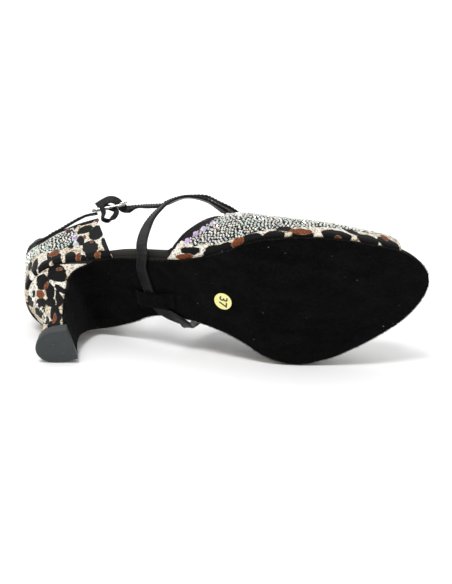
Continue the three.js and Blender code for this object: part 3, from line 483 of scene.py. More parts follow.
def fine_leather(name, tone, grain, gloss):
    finish = Finish(name, Specular_IOR_Level=0.3)
    pores = finish.node("ShaderNodeTexVoronoi", None, {"Vector": finish.place, "Scale": 1 / grain})
    cloud = finish.noise(12, 2)
    paler = [int(1.5 * c) for c in tone]
    finish.feed(
        Base_Color=finish.mix(cloud.rise(0.3, 0.75), colour(*tone), colour(*paler)),
        Roughness=cloud * 0.2 + (gloss + 0.1),
        Normal=finish.bump(pores + finish.noise(0.25, 3) * 0.5, 0.12),
    )
    return finish.material


sock_leather = fine_leather("sock_microfibre", (30, 29, 25), 0.45, 0.6)
toe_x, heel_x = np.linspace(length - 22, length - 1.2, 18), np.linspace(heel_inset + 0.8, 20, 18)
insole_x = np.concatenate([heel_x, np.linspace(21, length - 24, 120), toe_x])
insole_centre, insole_half, insole_board, insole_swell, insole_pad = station(insole_x)
insole_step, turn_height, rim_radius = upper_wall + clearance, 3.2, 1.1


def insole_rim(side):
    rim = insole_swell[side] - 1.8 * clearance - insole_step
    full, low = clearance + rim, insole_step + 0.3 * (turn_height - insole_step)
    steps = [(0, 0), (0, insole_step), (clearance + 0.7 * rim, low), (full, turn_height)]
    steps.append((full, insole_pad - rim_radius))
    for angle in (0.52, 1.05, 1.57):
        back, down = rim_radius * (1 - np.cos(angle)), rim_radius * (1 - np.sin(angle))
        steps.append((full - back, insole_pad - down))
    return [
        spot(insole_x, insole_centre + side * (insole_half + out), insole_board + up) for out, up in steps
    ]


ends = np.clip((insole_x - 6) / 10, 0, 1) * np.clip((length - 12 - insole_x) / 10, 0, 1)
on_top = []
for share in np.linspace(-0.93, 0.93, 33):
    sunk = 0.5 * (1 - share**2) * ends + 0.25 * np.exp(-(((np.abs(share) - 0.8) / 0.035) ** 2))
    on_top.append(spot(insole_x, insole_centre + share * insole_half, insole_board + insole_pad - sunk))
ring = np.stack([*insole_rim(lateral), *on_top, *insole_rim(medial)[::-1]], 1)


def lofted(rings, round_trip=False):
    """Points and faces through closed rings, with an end face on each end or joined end to end"""
    count, around = rings.shape[:2]
    index = np.arange(count * around).reshape(count, around)
    following = np.roll(index, -1, axis=0) if round_trip else index[1:]
    index_from = index if round_trip else index[:-1]
    quads = np.stack([index_from, np.roll(index_from, -1, 1), np.roll(following, -1, 1), following], -1)
    faces = quads.reshape(-1, 4).tolist()
    if not round_trip:
        faces += [index[0, ::-1].tolist(), index[-1].tolist()]
    return rings.reshape(-1, 3), faces


piece("wrapped_insole", *lofted(ring), [sock_leather], "insole", "insole")

# Thread is a twisted black polyester, laid in short stitches that sink a little into what they
# hold. The same thread runs round the sock, beside the bindings and along both edges of the strap.
stitcher = Grower("stitches", Length=0.0018, Thread=0.0004)
bead = stitcher.node("GeometryNodeMeshUVSphere", None, {"Segments": 8, "Rings": 5, "Radius": 0.5})
thread = Finish("black_thread", Roughness=0.55, Specular_IOR_Level=0.3)
thread.feed(
    Base_Color=thread.mix(thread.noise(0.4), colour(12, 12, 12), colour(52, 50, 48)),
    Normal=thread.bump(thread.noise(0.12, 1, (1, 3, 1)), 0.08),
)
stitcher.set_on_points(bead, stitcher.sized("Length", "Thread", "Thread"), thread.material, True)


def run_along(grid, axis=0):
    """How far each point of a line or grid has come along one axis"""
    steps = np.linalg.norm(np.diff(grid, axis=axis), axis=-1)
    start = np.zeros_like(np.take(steps, [0], axis=axis))
    return np.concatenate([start, np.cumsum(steps, axis=axis)], axis=axis)


def between(at, run, rows):
    """Rows read between, where each stands at its own run"""
    return np.stack([np.interp(at, run, column) for column in rows.T], -1)


def stitched(name, slot, line, facing, pitch=2.2):
    """Stitches along a line of points, one to each pitch, standing out along facing"""
    run = run_along(line)
    at = np.arange(pitch / 2, run[-1], pitch)
    out = between(at, run, facing)
    ahead = between(at + 0.5, run, line) - between(at - 0.5, run, line)
    stitcher.grow(name, slot, between(at, run, line) + 0.05 * out, out, ahead)


for label, side in (("lateral", lateral), ("medial", medial)):
    line = spot(insole_x, insole_centre + side * 0.8 * insole_half, insole_board + insole_pad - 0.35)[6:-8]
    stitched("sock_stitches_" + label, "insole", line, np.tile([0, 0, 1.0], (len(line), 1)), 2.6)

# The printed cloth of the vamp, counter and heel is a stretch satin with a common leopard print:
# cream flecked with tan, close black blotches, and rust patches inside some of them. It is lined
# with dark microfibre, and its open edges are bound.


def print_cloth():
    finish = Finish("leopard_print", Specular_IOR_Level=0.12, Sheen_Weight=0.01)
    wobble = (finish.noise(4.5, 3) - 0.5) * 3.0 + (finish.noise(0.9, 2) - 0.5) * 0.9
    black = 1 - (finish.mark("dark") + wobble).rise(0.2, 0.55)
    rust = 1 - (finish.mark("warm") + wobble * 0.7).rise(-0.15, 0.3)
    fleck = finish.noise(1.3, 4).rise(0.5, 0.58)
    drift = finish.noise(14, 1).rise(0.35, 0.65)
    ground = finish.mix(drift, colour(232, 228, 218), colour(214, 202, 178))
    ground = finish.mix(fleck * (drift * 0.3 + 0.6), ground, colour(104, 78, 48))
    patch = finish.mix(finish.noise(1.1, 3).rise(0.35, 0.7), colour(132, 72, 36), colour(78, 38, 22))
    cloth = finish.mix(rust, ground, patch)
    cloth = finish.mix(black * (1 - rust), cloth, colour(6, 6, 6))
    inputs = {"Vector": finish.place, "Scale": 2.6, "Distortion": 1.2}
    weave = finish.node("ShaderNodeTexWave", {"bands_direction": "DIAGONAL"}, inputs)
    finish.feed(
        Base_Color=cloth,
        Roughness=finish.noise(2.5, 2) * 0.2 + 0.48,
        Normal=finish.bump(weave * 0.5 + finish.noise(0.5, 3), 0.07),
    )
    return finish.material


leopard = print_cloth()
lining = fine_leather("lining_microfibre", (34, 32, 29), 0.35, 0.55)


def blotches(across, along, dark_rows, warm_rows):
    """How far each point is from the nearest blotch, in millimetres, below nought inside it"""
    fields = []
    for rows in (dark_rows, warm_rows):
        nearest = np.full(np.shape(across), 9.0)
        for x, y, reach, width, turn in rows:
            run, aside = turned(across, along, x, y, turn)
            near = (np.hypot(run / reach, aside / width) - 1) * np.sqrt(reach * width) * 0.8
            nearest = np.minimum(nearest, near)
        fields.append(nearest)
    return fields


def scattered(seed, low, high, keep):
    """Blotches for the sides that the photograph doesn't show, in the same closeness and sizes"""
    chance, pitch = np.random.default_rng(seed), 9.6
    dark, warm = [], []
    for row, y in enumerate(np.arange(low[1], high[1], pitch * 0.85)):
        for x in np.arange(low[0] + (row % 2) * pitch / 2, high[0], pitch):
            x1, y1 = x + chance.normal() * 1.3, y + chance.normal() * 1.3
            reach, width = 3.3 + 2.0 * chance.random(), 2.6 + 1.4 * chance.random()
            turn, style = chance.random() * 180, chance.random()
            if not keep(x1, y1):
                continue
            dark.append((x1, y1, reach, width, turn))
            if style < 0.4:
                side = np.radians(chance.random() * 360)
                dark.append((x1 + 3 * np.cos(side), y1 + 3 * np.sin(side), 2.6, 2.2, turn + 60))
                warm.append((x1 + 1.6 * np.cos(side + 1), y1 + 1.6 * np.sin(side + 1), 2.2, 1.7, turn))
    return dark, warm


# The vamp covers the forefoot with an open toe and a deep throat. It is lasted over the sole's edge
# and stretched tight, so its creases are few: short gathers at the feather edge and soft drags
# from the corners of the throat.
vamp_shape = Table(
    "along crown ridge full",
    (0.36, 1.56, 0.00, 2.60),
    (0.42, 1.44, 0.00, 2.60),
    (0.49, 1.25, 0.00, 2.55),
    (0.545, 1.10, 0.01, 2.50),
    (0.59, 1.00, 0.02, 2.45),
    (0.63, 0.880, 0.02, 2.40),
    (0.70, 0.740, 0.03, 2.35),
    (0.77, 0.640, 0.03, 2.35),
    (0.84, 0.575, 0.03, 2.35),
    (0.91, 0.525, 0.03, 2.40),
    (0.96, 0.500, 0.03, 2.40),
)
vamp_edges = Table(
    "up throat toe",
    (0.00, 0.377, 0.938),
    (0.14, 0.401, 0.941),
    (0.18, 0.415, 0.941),
    (0.23, 0.430, 0.941),
    (0.31, 0.455, 0.940),
    (0.43, 0.490, 0.938),
    (0.58, 0.527, 0.934),
    (0.74, 0.556, 0.926),
    (0.88, 0.577, 0.917),
    (1.00, 0.585, 0.914),
)
turn_share, seat = 0.14, 1.6 * clearance


def vamp_point(x, side, up, depth):
    """A point of the vamp's wall: up runs from the sole (0) over the swell to the ridge (1)"""
    x, up = np.broadcast_arrays(np.asarray(x, float), np.asarray(up, float))
    centre, half, board, swells, _ = station(x)
    row = vamp_shape.at(x / length)
    turn = np.pi / 2 * (1 - np.minimum(up / turn_share, 1))
    low_y = centre + side * (half + seat + (swells[side] - seat - depth) * np.cos(turn))
    low_z = board + turn_height - (turn_height - depth) * np.sin(turn)
    angle = np.pi / 2 * np.clip((up - turn_share) / (1 - turn_share), 0, 1)
    ridge = centre + row["ridge"] * ball_width
    side_y = centre + side * (half + swells[side] - depth)
    height = row["crown"] * instep_height - board - turn_height - depth
    power = 2 / row["full"]
    high_y = ridge + (side_y - ridge) * np.abs(np.cos(angle)) ** power
    high_z = board + turn_height + height * np.abs(np.sin(angle)) ** power
    low = up < turn_share
    return spot(x, np.where(low, low_y, high_y), np.where(low, low_z, high_z))


def steps_up(count):
    """Shares up a wall, closer over the turn at its foot"""
    return np.append(np.linspace(0, turn_share, 9)[:-1], np.linspace(turn_share, 1, count))


vamp_up = steps_up(82)
track_up = np.append(vamp_up, vamp_up[::-1][1:])
track_side = np.repeat([lateral, medial], [len(vamp_up) - 1, len(vamp_up)])
edges = vamp_edges.at(track_up)
vamp_x = length * (edges["throat"] + (edges["toe"] - edges["throat"]) * np.linspace(0, 1, 150)[:, None])


def vamp_at(x, depth):
    """The vamp's wall on a track that climbs the lateral side and comes down the medial one"""
    sides = [vamp_point(x, side, track_up, depth) for side in (lateral, medial)]
    return np.where((track_side == lateral)[:, None], *sides)


vamp_outer, vamp_inner = vamp_at(vamp_x, 0), vamp_at(vamp_x, upper_wall)
vamp_rise, from_throat = run_along(vamp_outer, 1), run_along(vamp_outer)
from_toe = from_throat[-1] - from_throat
around_vamp = vamp_rise[:, -1:] - vamp_rise
# The stones' lower edge, along the shoe and up from the feather edge
vamp_pave = Table(
    "along up", (84, 14), (96, 12.7), (100.9, 11.7), (105.3, 8.4), (109.3, 8.3), (114.7, 7.6), (120.8, 7.5),
    (132.4, 6.9), (138.3, 7.4), (146.5, 8.9), (159.1, 9.4), (178.8, 10.7), (188.2, 11.5), (198.7, 12.7),
    (210.8, 16.7), (220, 17),
)
# Blotches: along the shoe, up from the feather edge, half lengths and turn
vamp_dark = [
    (99.3, 5.9, 4.7, 3.2, -16), (111.0, 2.1, 5.1, 4.4, 13), (118.6, 2.4, 3.5, 3.2, -41),
    (132.2, 1.6, 6.2, 4.6, -6), (145.2, 1.5, 5.2, 4.4, -1), (151.5, 7.2, 4.4, 2.2, -18),
    (160.3, 0.9, 5.6, 3.2, -1), (178.6, 2.4, 7.4, 4.8, -4), (196.6, 2.8, 5.2, 4.9, 13),
    (207.6, 3.4, 6.4, 4.6, -50), (187.6, 9.4, 4.6, 2.6, -47),
]
vamp_warm = [
    (95.2, 1.7, 4.7, 2.3, 0), (125.2, 3.1, 3.8, 3.3, 30), (160.0, 4.4, 5.7, 2.9, -3),
    (179.6, 0.4, 1.6, 1.1, 14), (206.7, 9.6, 4.4, 2.0, -86),
]
far_dark, far_warm = scattered(3, (84, 16), (218, 150), lambda x, y: y > 18)
dark, warm = blotches(vamp_x, vamp_rise, vamp_dark + far_dark, vamp_warm + far_warm)
from_feather = np.minimum(vamp_rise, around_vamp)
band_depth = 5.0 + 4.0 * np.clip((from_feather - 14) / 20, 0, 1)
above_turn = np.broadcast_to(track_up > 0.17, vamp_x.shape)
dark = np.where(above_turn, np.minimum(dark, from_throat - band_depth), dark)
# Painted shade: the cloth within a few millimetres of the medial feather edge is made black, and its rust
# taken out, for the shade under the sole's edge.
dark = np.minimum(dark, around_vamp - 2.6)
warm = np.where(around_vamp < 6, 9, warm)
covered = (from_feather > vamp_pave.at(vamp_x)["up"]) & (from_toe > 2.2) & (from_throat > 1.4)
covered &= (from_throat > band_depth + 0.6) | ~above_turn
# A short row among the stones is left bare
stripe_start, stripe_length, stripe_up = 126.8, 13.5, 28.4
bare = np.clip((vamp_x - stripe_start) / stripe_length, 0, 1)
from_stripe = np.hypot(vamp_x - stripe_start - stripe_length * bare, vamp_rise - stripe_up + 2.6 * bare)
covered &= from_stripe > 1.3
dark = np.where(covered, np.minimum(dark, -1.2), dark)
vamp_creases = [(x, 5.0, 4.5, 1.1, 84 + 9 * np.sin(x), 0.16) for x in np.arange(96, 212, 7.5)]
vamp_creases += [(104, 22, 12, 3.0, 24, 0.3), (118, 34, 14, 3.4, 18, 0.22), (128, 12, 16, 3.0, 8, 0.2)]
vamp_skin, vamp_out = creased(vamp_outer, vamp_inner, vamp_x, vamp_rise, vamp_creases)


def printed(name, node, skin, inner, dark, warm):
    """A wall of printed cloth outside and round its edges, with the lining inside"""
    points, faces, sides = wall(skin, inner)
    inside = np.full(inner[..., 0].size, 5)
    marks = {"dark": np.append(dark, inside), "warm": np.append(warm, inside)}
    piece(name, points, faces, [leopard, lining], "print", node, marks, np.array([0, 1, 0])[sides])


printed("printed_vamp", "vamp", vamp_skin, vamp_inner, dark, warm)

# The counter cups the heel from the lateral buckle loop to the medial one. A stiffener inside
# keeps it smooth, and its top edge dips under the ankle bones and rises at the back.
counter_shape = Table(
    "around top lean",
    (0.00, 1.000, -0.035),
    (0.12, 0.985, -0.045),
    (0.21, 0.925, -0.055),
    (0.32, 0.800, -0.050),
    (0.43, 0.735, -0.045),
    (0.60, 0.805, -0.036),
    (0.82, 0.925, -0.030),
    (1.00, 0.980, -0.024),
)
counter_foot, counter_top = 0.243, 0.222
walk_share = (1 - np.cos(np.linspace(0, 1, 181) * np.pi / 2)) ** 1.4
walk_x = heel_inset + (counter_foot * length - heel_inset) * walk_share
walk_centre, walk_half, *_ = station(walk_x)
walk = [spot(walk_x, walk_centre - walk_half)[::-1], spot(walk_x, walk_centre + walk_half)[1:]]
walk = np.vstack(walk)
walk_run = run_along(walk)
walk_back = walk_run[len(walk_x) - 1]


def counter_point(around, up, depth):
    """A point of the counter's wall: around from the lateral front (-1) by the back (0) to the medial"""
    around, up = np.broadcast_arrays(np.asarray(around, float), np.asarray(up, float))
    row = counter_shape.at(np.abs(around))
    reach = np.where(around < 0, walk_back, walk_run[-1] - walk_back)
    wanted = walk_back + reach * around * (1 - (1 - counter_top / counter_foot) * up)
    place = between(wanted, walk_run, walk)
    ahead = unit(between(wanted + 4, walk_run, walk) - between(wanted - 4, walk_run, walk))
    _, _, board, swells, _ = station(place[..., 0])
    radius = np.where(around < 0, swells[lateral], swells[medial]) - seat
    turn = np.pi / 2 * (1 - np.minimum(up / turn_share, 1))
    rise = np.clip((up - turn_share) / (1 - turn_share), 0, 1)
    low = up < turn_share
    lean = row["lean"] * heel_width * rise * rise * (3 - 2 * rise)
    distance = np.where(low, seat + (radius - depth) * np.cos(turn), seat + radius - depth + lean)
    high = turn_height + (row["top"] * counter_height - turn_height) * rise
    height = np.where(low, turn_height - (turn_height - depth) * np.sin(turn), high)
    x, y = place[..., 0] - ahead[..., 1] * distance, place[..., 1] + ahead[..., 0] * distance
    return spot(x, y, board + height)


counter_around, counter_up = np.meshgrid(np.linspace(-1, 1, 260), steps_up(76))
counter_outer = counter_point(counter_around, counter_up, 0)
counter_inner = counter_point(counter_around, counter_up, upper_wall)
counter_run = counter_around * walk_back
counter_rise = counter_outer[..., 2] - station(counter_outer[..., 0])[2]
# Blotches: round from the back, above the board, half lengths and turn
counter_dark = [
    (-61.3, 27.6, 9.2, 4.6, -77), (-54.6, 9.4, 8.7, 4.6, -86), (-53.4, 3.1, 5.6, 2.8, -81),
    (-55.2, 35.0, 5.9, 3.9, -38), (-57.7, 45.5, 5.8, 3.2, -20), (-49.6, 42.7, 3.1, 1.3, -85),
    (-64.1, 9.0, 9.6, 1.6, 90), (-60.3, 0.0, 3.0, 2.4, -2), (-55.5, -0.1, 2.0, 1.4, 0),
    (-41.7, 1.8, 5.0, 3.4, -77), (-47.1, 0.0, 2.8, 1.6, 1), (-33.5, 3.1, 8.4, 2.6, -86),
    (-29.7, 8.7, 6.3, 1.1, 89), (-25.1, 1.0, 5.2, 3.1, -54), (-20.2, 8.6, 8.4, 2.3, -86),
    (-15.5, 17.2, 6.5, 2.0, 79), (-43.6, 19.5, 7.4, 2.3, -85), (-50.1, 20.2, 6.7, 2.3, -85),
    (-11.9, 2.5, 6.1, 3.2, -81),
]
counter_warm = [
    (-33.0, 10.7, 3.6, 3.2, 85), (-46.0, 1.8, 3.0, 1.5, -63), (-57.3, 0.8, 1.6, 0.9, -18),
    (-53.2, 25.1, 3.4, 0.8, -83), (-64.6, 43.9, 2.4, 1.2, 69), (-56.3, 16.4, 1.8, 0.9, -88),
]
far_dark, far_warm = scattered(8, (-5, 0), (68, 50), lambda x, y: x > -4)
counter_pave = Table(
    "from_back up", (0, 20), (6, 20), (14.8, 24.7), (27.8, 18.6), (36.7, 12.8), (43, 17.0), (46.0, 22),
    (48.2, 30), (50, 46), (70, 60),
)
counter_covered = (counter_rise > counter_pave.at(np.abs(counter_run))["up"]) & (counter_up < 0.965)
dark, warm = blotches(counter_run, counter_rise, counter_dark + far_dark, counter_warm + far_warm)
dark = np.where(counter_covered, np.minimum(dark, -1.0), dark)
# Painted shade: the cloth low on the medial side, next to the sole, is made black and its rust taken out,
# for the shade there.
medial_edge_shade = np.where(counter_run > 6, counter_rise - 2.2, 9)
dark, warm = np.minimum(dark, medial_edge_shade), np.where(medial_edge_shade < 3, 9, warm)
printed("printed_counter", "counter", counter_outer, counter_inner, dark, warm)

# The heel is a moulded block covered in the same cloth, which is drawn round its back and sides and
# tucked under the suede of the breast. It flares to the seat and narrows above the top piece.
heel_heights = [np.linspace(breast_foot, breast_bend, 60)[:-1], np.linspace(breast_bend, breast_top, 30)]
heel_roundness, breast_flat, breast_points, side_points = 2.05, 0.4, 9, 12
heel_turns = np.linspace(1, -1, 121)


def heel_ring(height, z, front, lip=0.0):
    """One level of the heel: a flat breast and a round back, from the lateral corner by the breast"""
    row = heel_shape.at(height)
    back, half, centre = row["back"] * heel_length, row["half"] * heel_width, row["centre"] * heel_width
    middle = front - breast_flat * (front - back)
    across = np.linspace(-1, 1, breast_points) * half * breast_share
    back, half = back - lip, half + lip
    flat = spot(front + row["skew"] * across, centre + across)
    angle, power = heel_turns * np.pi / 2, 2 / heel_roundness
    x = middle - (middle - back) * np.abs(np.cos(angle)) ** power
    round_back = spot(x, centre + half * np.sign(angle) * np.abs(np.sin(angle)) ** power)
    part = np.linspace(0, 1, side_points + 2)[1:-1, None]
    medial_side = flat[-1] * (1 - part) + round_back[0] * part
    lateral_side = round_back[-1] * (1 - part) + flat[0] * part
    x, y = np.vstack([flat, medial_side, round_back, lateral_side]).T
    return spot(x, y, z(x) if callable(z) else z)


heel_rings = [
    heel_ring(height, height * heel_rise + sole_stack, heel_shape.at(height)["front"] * heel_length)
    for height in np.concatenate(heel_heights)
]
# The cover's lip, which closes the seam under the counter
heel_rings.append(heel_ring(breast_top, lambda x: station(x)[2] - 0.05, heel_length * 0.975, 1.3))
heel_rings = np.stack(heel_rings)
heel_wrap = heel_rings[:, breast_points:]
wrap_run = run_along(heel_wrap, 1)
wrap_run = wrap_run[:, heel_wrap.shape[1] // 2, None] - wrap_run
heel_run = np.hstack([np.repeat(wrap_run[:, -1:], breast_points, 1), wrap_run])
# Blotches: round from the back, height above the floor, half lengths and turn
heel_dark = [
    (-29.8, 52.2, 6.7, 4.5, -54), (-19.6, 50.5, 6.0, 3.9, -80), (-18.5, 41.6, 6.8, 2.2, -57),
    (-9.5, 40.3, 4.4, 2.6, 71), (-13.4, 33.0, 4.2, 2.6, 88), (-19.0, 33.2, 6.4, 1.7, -70),
    (-14.0, 21.9, 8.0, 2.6, 87), (-16.1, 9.0, 4.6, 3.3, 68), (-16.8, 16.7, 4.6, 1.7, 74),
    (-3.2, 55.1, 7.2, 2.9, 73), (-10.3, 50.8, 2.3, 1.7, 82), (-1.7, 42.3, 3.9, 2.5, 86),
    (-8.0, 20.3, 9.0, 1.6, 65), (-3.0, 30.0, 4.6, 1.8, 80), (-24.6, 40.5, 4.6, 1.7, 88),
    (-5.2, 36.5, 3.4, 1.9, 80),
]
heel_warm = [
    (-32.7, 54.6, 1.8, 1.3, 11), (-19.7, 46.0, 3.2, 1.0, -39), (-13.2, 44.5, 3.9, 2.5, 75),
    (-15.0, 15.5, 5.5, 1.0, 81),
]
far_dark, far_warm = scattered(21, (2, 8), (36, 58), lambda x, y: x > 3)
dark, warm = blotches(heel_run, heel_rings[..., 2], heel_dark + far_dark, heel_warm + far_warm)
piece("covered_heel", *lofted(heel_rings), [leopard], "print", "heel", {"dark": dark, "warm": warm})

# The top piece is a wearing tip of dark moulded rubber, pinned under the heel. It has a fine
# pebble, dulled edges and one small scratch.
tip_rubber = Finish("tip_rubber", Specular_IOR_Level=0.4)
tip_cloud = tip_rubber.noise(5, 3)
scuff = tip_rubber.noise(0.9, 2, (0.35, 1.0, 2.6)).rise(0.66, 0.72)
tip_tone = tip_rubber.mix(tip_cloud, colour(40, 44, 46), colour(54, 58, 60))
tip_rubber.feed(
    Base_Color=tip_rubber.mix(scuff * 0.35, tip_tone, colour(118, 124, 128)),
    Roughness=tip_cloud * 0.2 + 0.45,
    Normal=tip_rubber.bump(tip_rubber.noise(0.35, 3), 0.06),
)
tip_rings = []
for z, inset in ((0.0, 1.1), (0.0, 0.6), (0.18, 0.2), (0.6, 0.0), (3.5, 0.0), (6.7, 0.0), (7.0, 0.25)):
    level = heel_ring(max(z - sole_stack, 0) / heel_rise, z, 0.572 * heel_length + sole_stack)
    tip_rings.append(level + unit((level.mean(0) - level) * np.array([1, 1, 0])) * inset)
piece("rubber_top_piece", *lofted(np.stack(tip_rings)), [tip_rubber.material], "tip", "top_piece")

# Bindings are folded strips of black satin over both cut edges, drawn tight into a round bead
# and sewn down with a row of stitches beside it.


def satin(name, low, high, gloss):
    """Black satin ribbon: fine threads across, a soft sheen, and paler streaks along the threads and in
    soft clouds, a painted sheen
    """
    finish = Finish(name, Specular_IOR_Level=0.16, Sheen_Weight=0.01)
    run, side = finish.mark("along"), finish.mark("aside")
    thread_place = finish.node("ShaderNodeCombineXYZ", None, {"X": run * 0.35, "Y": side * 4.0, "Z": 0.0})
    threads = finish.node("ShaderNodeTexNoise", None, {"Vector": thread_place, "Scale": 1.6, "Detail": 3.0})
    cloud = finish.noise(6, 2)
    finish.feed(
        Base_Color=finish.mix((threads * 0.7 + cloud * 0.5).rise(0.4, 0.85), colour(*low), colour(*high)),
        Roughness=threads * 0.25 + gloss,
        Normal=finish.bump(threads + finish.noise(0.4, 2) * 0.4, 0.08),
    )
    return finish.material


strap_satin = satin("strap_satin", (3, 3, 4), (30, 30, 32), 0.24)
binding_satin = satin("binding_satin", (5, 5, 5), (26, 25, 25), 0.4)


def swept(name, node, finish, slot, places, looks, section, round_trip=False, ease=1.0):
    """A section swept along places, flat side to looks, marked with its run and side in millimetres"""
    ahead = np.gradient(places, axis=0)
    if round_trip:
        ahead = np.roll(places, -1, 0) - np.roll(places, 1, 0)
    ahead = unit(ahead)
    across = unit(np.cross(ahead, looks))
    out = unit(np.cross(across, ahead)) * np.reshape(ease, (-1, 1))
    rings = places[:, None] + across[:, None] * section[:, :1] + out[:, None] * section[:, 1:]
    run, aside = np.repeat(run_along(places), len(section)), np.tile(section.sum(1), len(places))
    piece(name, *lofted(rings, round_trip), [finish], slot, node, {"along": run, "aside": aside})


def round_section(radius, count):
    angle = np.linspace(0, 2 * np.pi, count, endpoint=False)
    return spot(radius * np.cos(angle), radius * np.sin(angle))


binding_radius, binding_depth = 0.95, 0.45 * upper_wall


def binding(name, node, edge, face, inside):
    off = unit(np.cross(np.gradient(edge, axis=0), face)) * (binding_radius + 1.9 * clearance)
    off *= -np.sign(np.sum(off * (inside - edge), -1, keepdims=True))
    snug = 1 + 0.05 * np.sin(np.arange(len(edge)) * 1.9)
    section = round_section(binding_radius, 12)
    swept(name, node, binding_satin, "satin", edge + off, face, section, ease=snug)


track = slice(3, -3)
throat_x = length * edges["throat"]
throat_face = unit(vamp_at(throat_x, 0) - vamp_at(throat_x, upper_wall))
binding(
    "throat_edge_binding", "throat_binding", vamp_at(throat_x, binding_depth)[track], throat_face[track],
    vamp_at(throat_x + 2, binding_depth)[track],
)
rim = lambda up, depth: counter_point(np.linspace(-1, 1, 190), up, depth)
topline_face = unit(rim(1, 0) - rim(1, upper_wall))
binding(
    "topline_edge_binding", "topline_binding", rim(1, binding_depth), topline_face,
    rim(0.9, binding_depth),
)
stitched("throat_stitches", "satin", vamp_outer[2, 12:-12], throat_face[12:-12])
stitched("topline_stitches", "satin", rim(0.965, 0), topline_face)
stitched("toe_stitches", "satin", vamp_outer[-3, 12:-12], throat_face[12:-12])

# The crystals are flat-backed cut glass with a rainbow coat, glued on one by one in close rows:
# small ones over the vamp's top and the back of the counter, large violet ones along the
# throat, and a single line down the back of the heel.
cut_glass = Finish("cut_glass", Roughness=0.08, IOR=1.6, Coat_Weight=0.6, Coat_Roughness=0.03)
tint = cut_glass.node("ShaderNodeValToRGB", None, {"Fac": cut_glass.mark("hue")})
stops = tint.socket.node.color_ramp.elements
tones = [
    (0.0, (236, 238, 224)), (0.25, (206, 224, 208)), (0.45, (250, 246, 236)), (0.6, (240, 214, 210)),
    (0.72, (196, 214, 222)), (0.85, (208, 178, 226)), (1.0, (96, 24, 52)),
]
for n, (at, tone) in enumerate(tones):
    stop = stops[n] if n < 2 else stops.new(at)
    stop.position, stop.color = at, colour(*tone)
# Each facet is painted from dark to white by its random glint: painted reflections and highlights, over
# each stone's own tint.
spark = cut_glass.mark("glint")
glass = cut_glass.mix(spark.rise(0.0, 0.4), colour(30, 30, 32), tint)
cut_glass.feed(
    Base_Color=cut_glass.mix(spark.rise(0.8, 0.95), glass, colour(255, 255, 255)),
    Metallic=spark.rise(0.1, 0.5) * 0.35,
)
setter = Grower("crystals", Diameter=0.0018, Height=0.0007)
cone = {"Vertices": 8, "Radius Top": 0.28, "Radius Bottom": 0.5, "Depth": 1.0}
stone = setter.node("GeometryNodeMeshCone", None, cone)
sizes = {0: setter.sized("Diameter", "Diameter", "Height"), "Scale": setter.named("size")}
stone_scale = setter.node("ShaderNodeVectorMath", {"operation": "SCALE"}, sizes)
setter.set_on_points(stone, stone_scale, cut_glass.material, False)


def spaced(points, pitch, order):
    """Takes points in the order given, each no closer to the others than the pitch"""
    taken, cells = [], {}
    around_here = [(i, j, k) for i in (-1, 0, 1) for j in (-1, 0, 1) for k in (-1, 0, 1)]
    for n in order.tolist():
        x, y, z = points[n].tolist()
        a, b, c = int(x // pitch), int(y // pitch), int(z // pitch)
        near = (other for i, j, k in around_here for other in cells.get((a + i, b + j, c + k), ()))
        if all((x - p) ** 2 + (y - q) ** 2 + (z - r) ** 2 >= pitch**2 for p, q, r in near):
            cells.setdefault((a, b, c), []).append((x, y, z))
            taken.append(n)
    return np.array(taken)


stone_pitch, stone_width, stone_share = 1.98, 1.62, 0.4


def finer(grid):
    """A grid read between its columns and then its rows"""
    for axis in (1, 0):
        grid = np.moveaxis(grid, axis, 0)
        at = np.linspace(0, len(grid) - 1, int(len(grid) * 2.4))
        low = np.minimum(at.astype(int), len(grid) - 2)
        part = (at - low).reshape(-1, *[1] * (grid.ndim - 1))
        grid = np.moveaxis(grid[low] * (1 - part) + grid[low + 1] * part, 0, axis)
    return grid


def pave(name, skin, out, covered, rows_by, seed, hue_of):
    """Fills what is covered with close rows of small stones"""
    inside = finer(covered.astype(float)).ravel() > 0.5
    points, normals = (finer(grid).reshape(-1, 3)[inside] for grid in (skin, out))
    rows = finer(rows_by).ravel()[inside]
    chance = np.random.default_rng(seed)
    taken = spaced(points, stone_pitch, np.lexsort((chance.random(len(rows)), np.floor(rows / 1.1))))
    places, facing = points[taken], unit(normals[taken])
    tilt = facing + 0.16 * chance.normal(size=facing.shape)
    heading = chance.normal(size=facing.shape)
    marks = {"hue": hue_of(places, chance), "size": 0.94 + 0.1 * chance.random(len(places))}
    size = {"Diameter": stone_width / 1000, "Height": stone_share * stone_width / 1000}
    setter.grow(name, "print", places + 0.05 * facing, tilt, heading, marks, **size)


def vamp_hue(places, chance):
    toward_toe = np.clip((places[:, 0] - 110) / 90, 0, 1)
    pink = chance.random(len(places)) < 0.45 * (1 - toward_toe)
    green = 0.45 * chance.random(len(places))
    return np.where(pink, 0.45 + 0.3 * chance.random(len(places)), green)


pave("vamp_crystals", vamp_skin, vamp_out, covered, from_throat, 4, vamp_hue)
counter_normal = unit(counter_outer - counter_inner)
# Large stones, listed: round from the back, up, diameter and hue
counter_stones = [(-46.4, 16.0, 4.0, 0.74), (-46.9, 25.3, 4.0, 0.83), (-44.5, 37.5, 3.0, 1.0)]
counter_stones += [(-run, rise, size, hue) for run, rise, size, hue in counter_stones]
for run, rise, *_ in counter_stones:
    counter_covered &= np.hypot(counter_run - run, counter_rise - rise) > 3.0
pave(
    "counter_crystals", counter_outer, counter_normal, counter_covered, -counter_rise, 9,
    lambda places, chance: 0.45 * chance.random(len(places)),
)


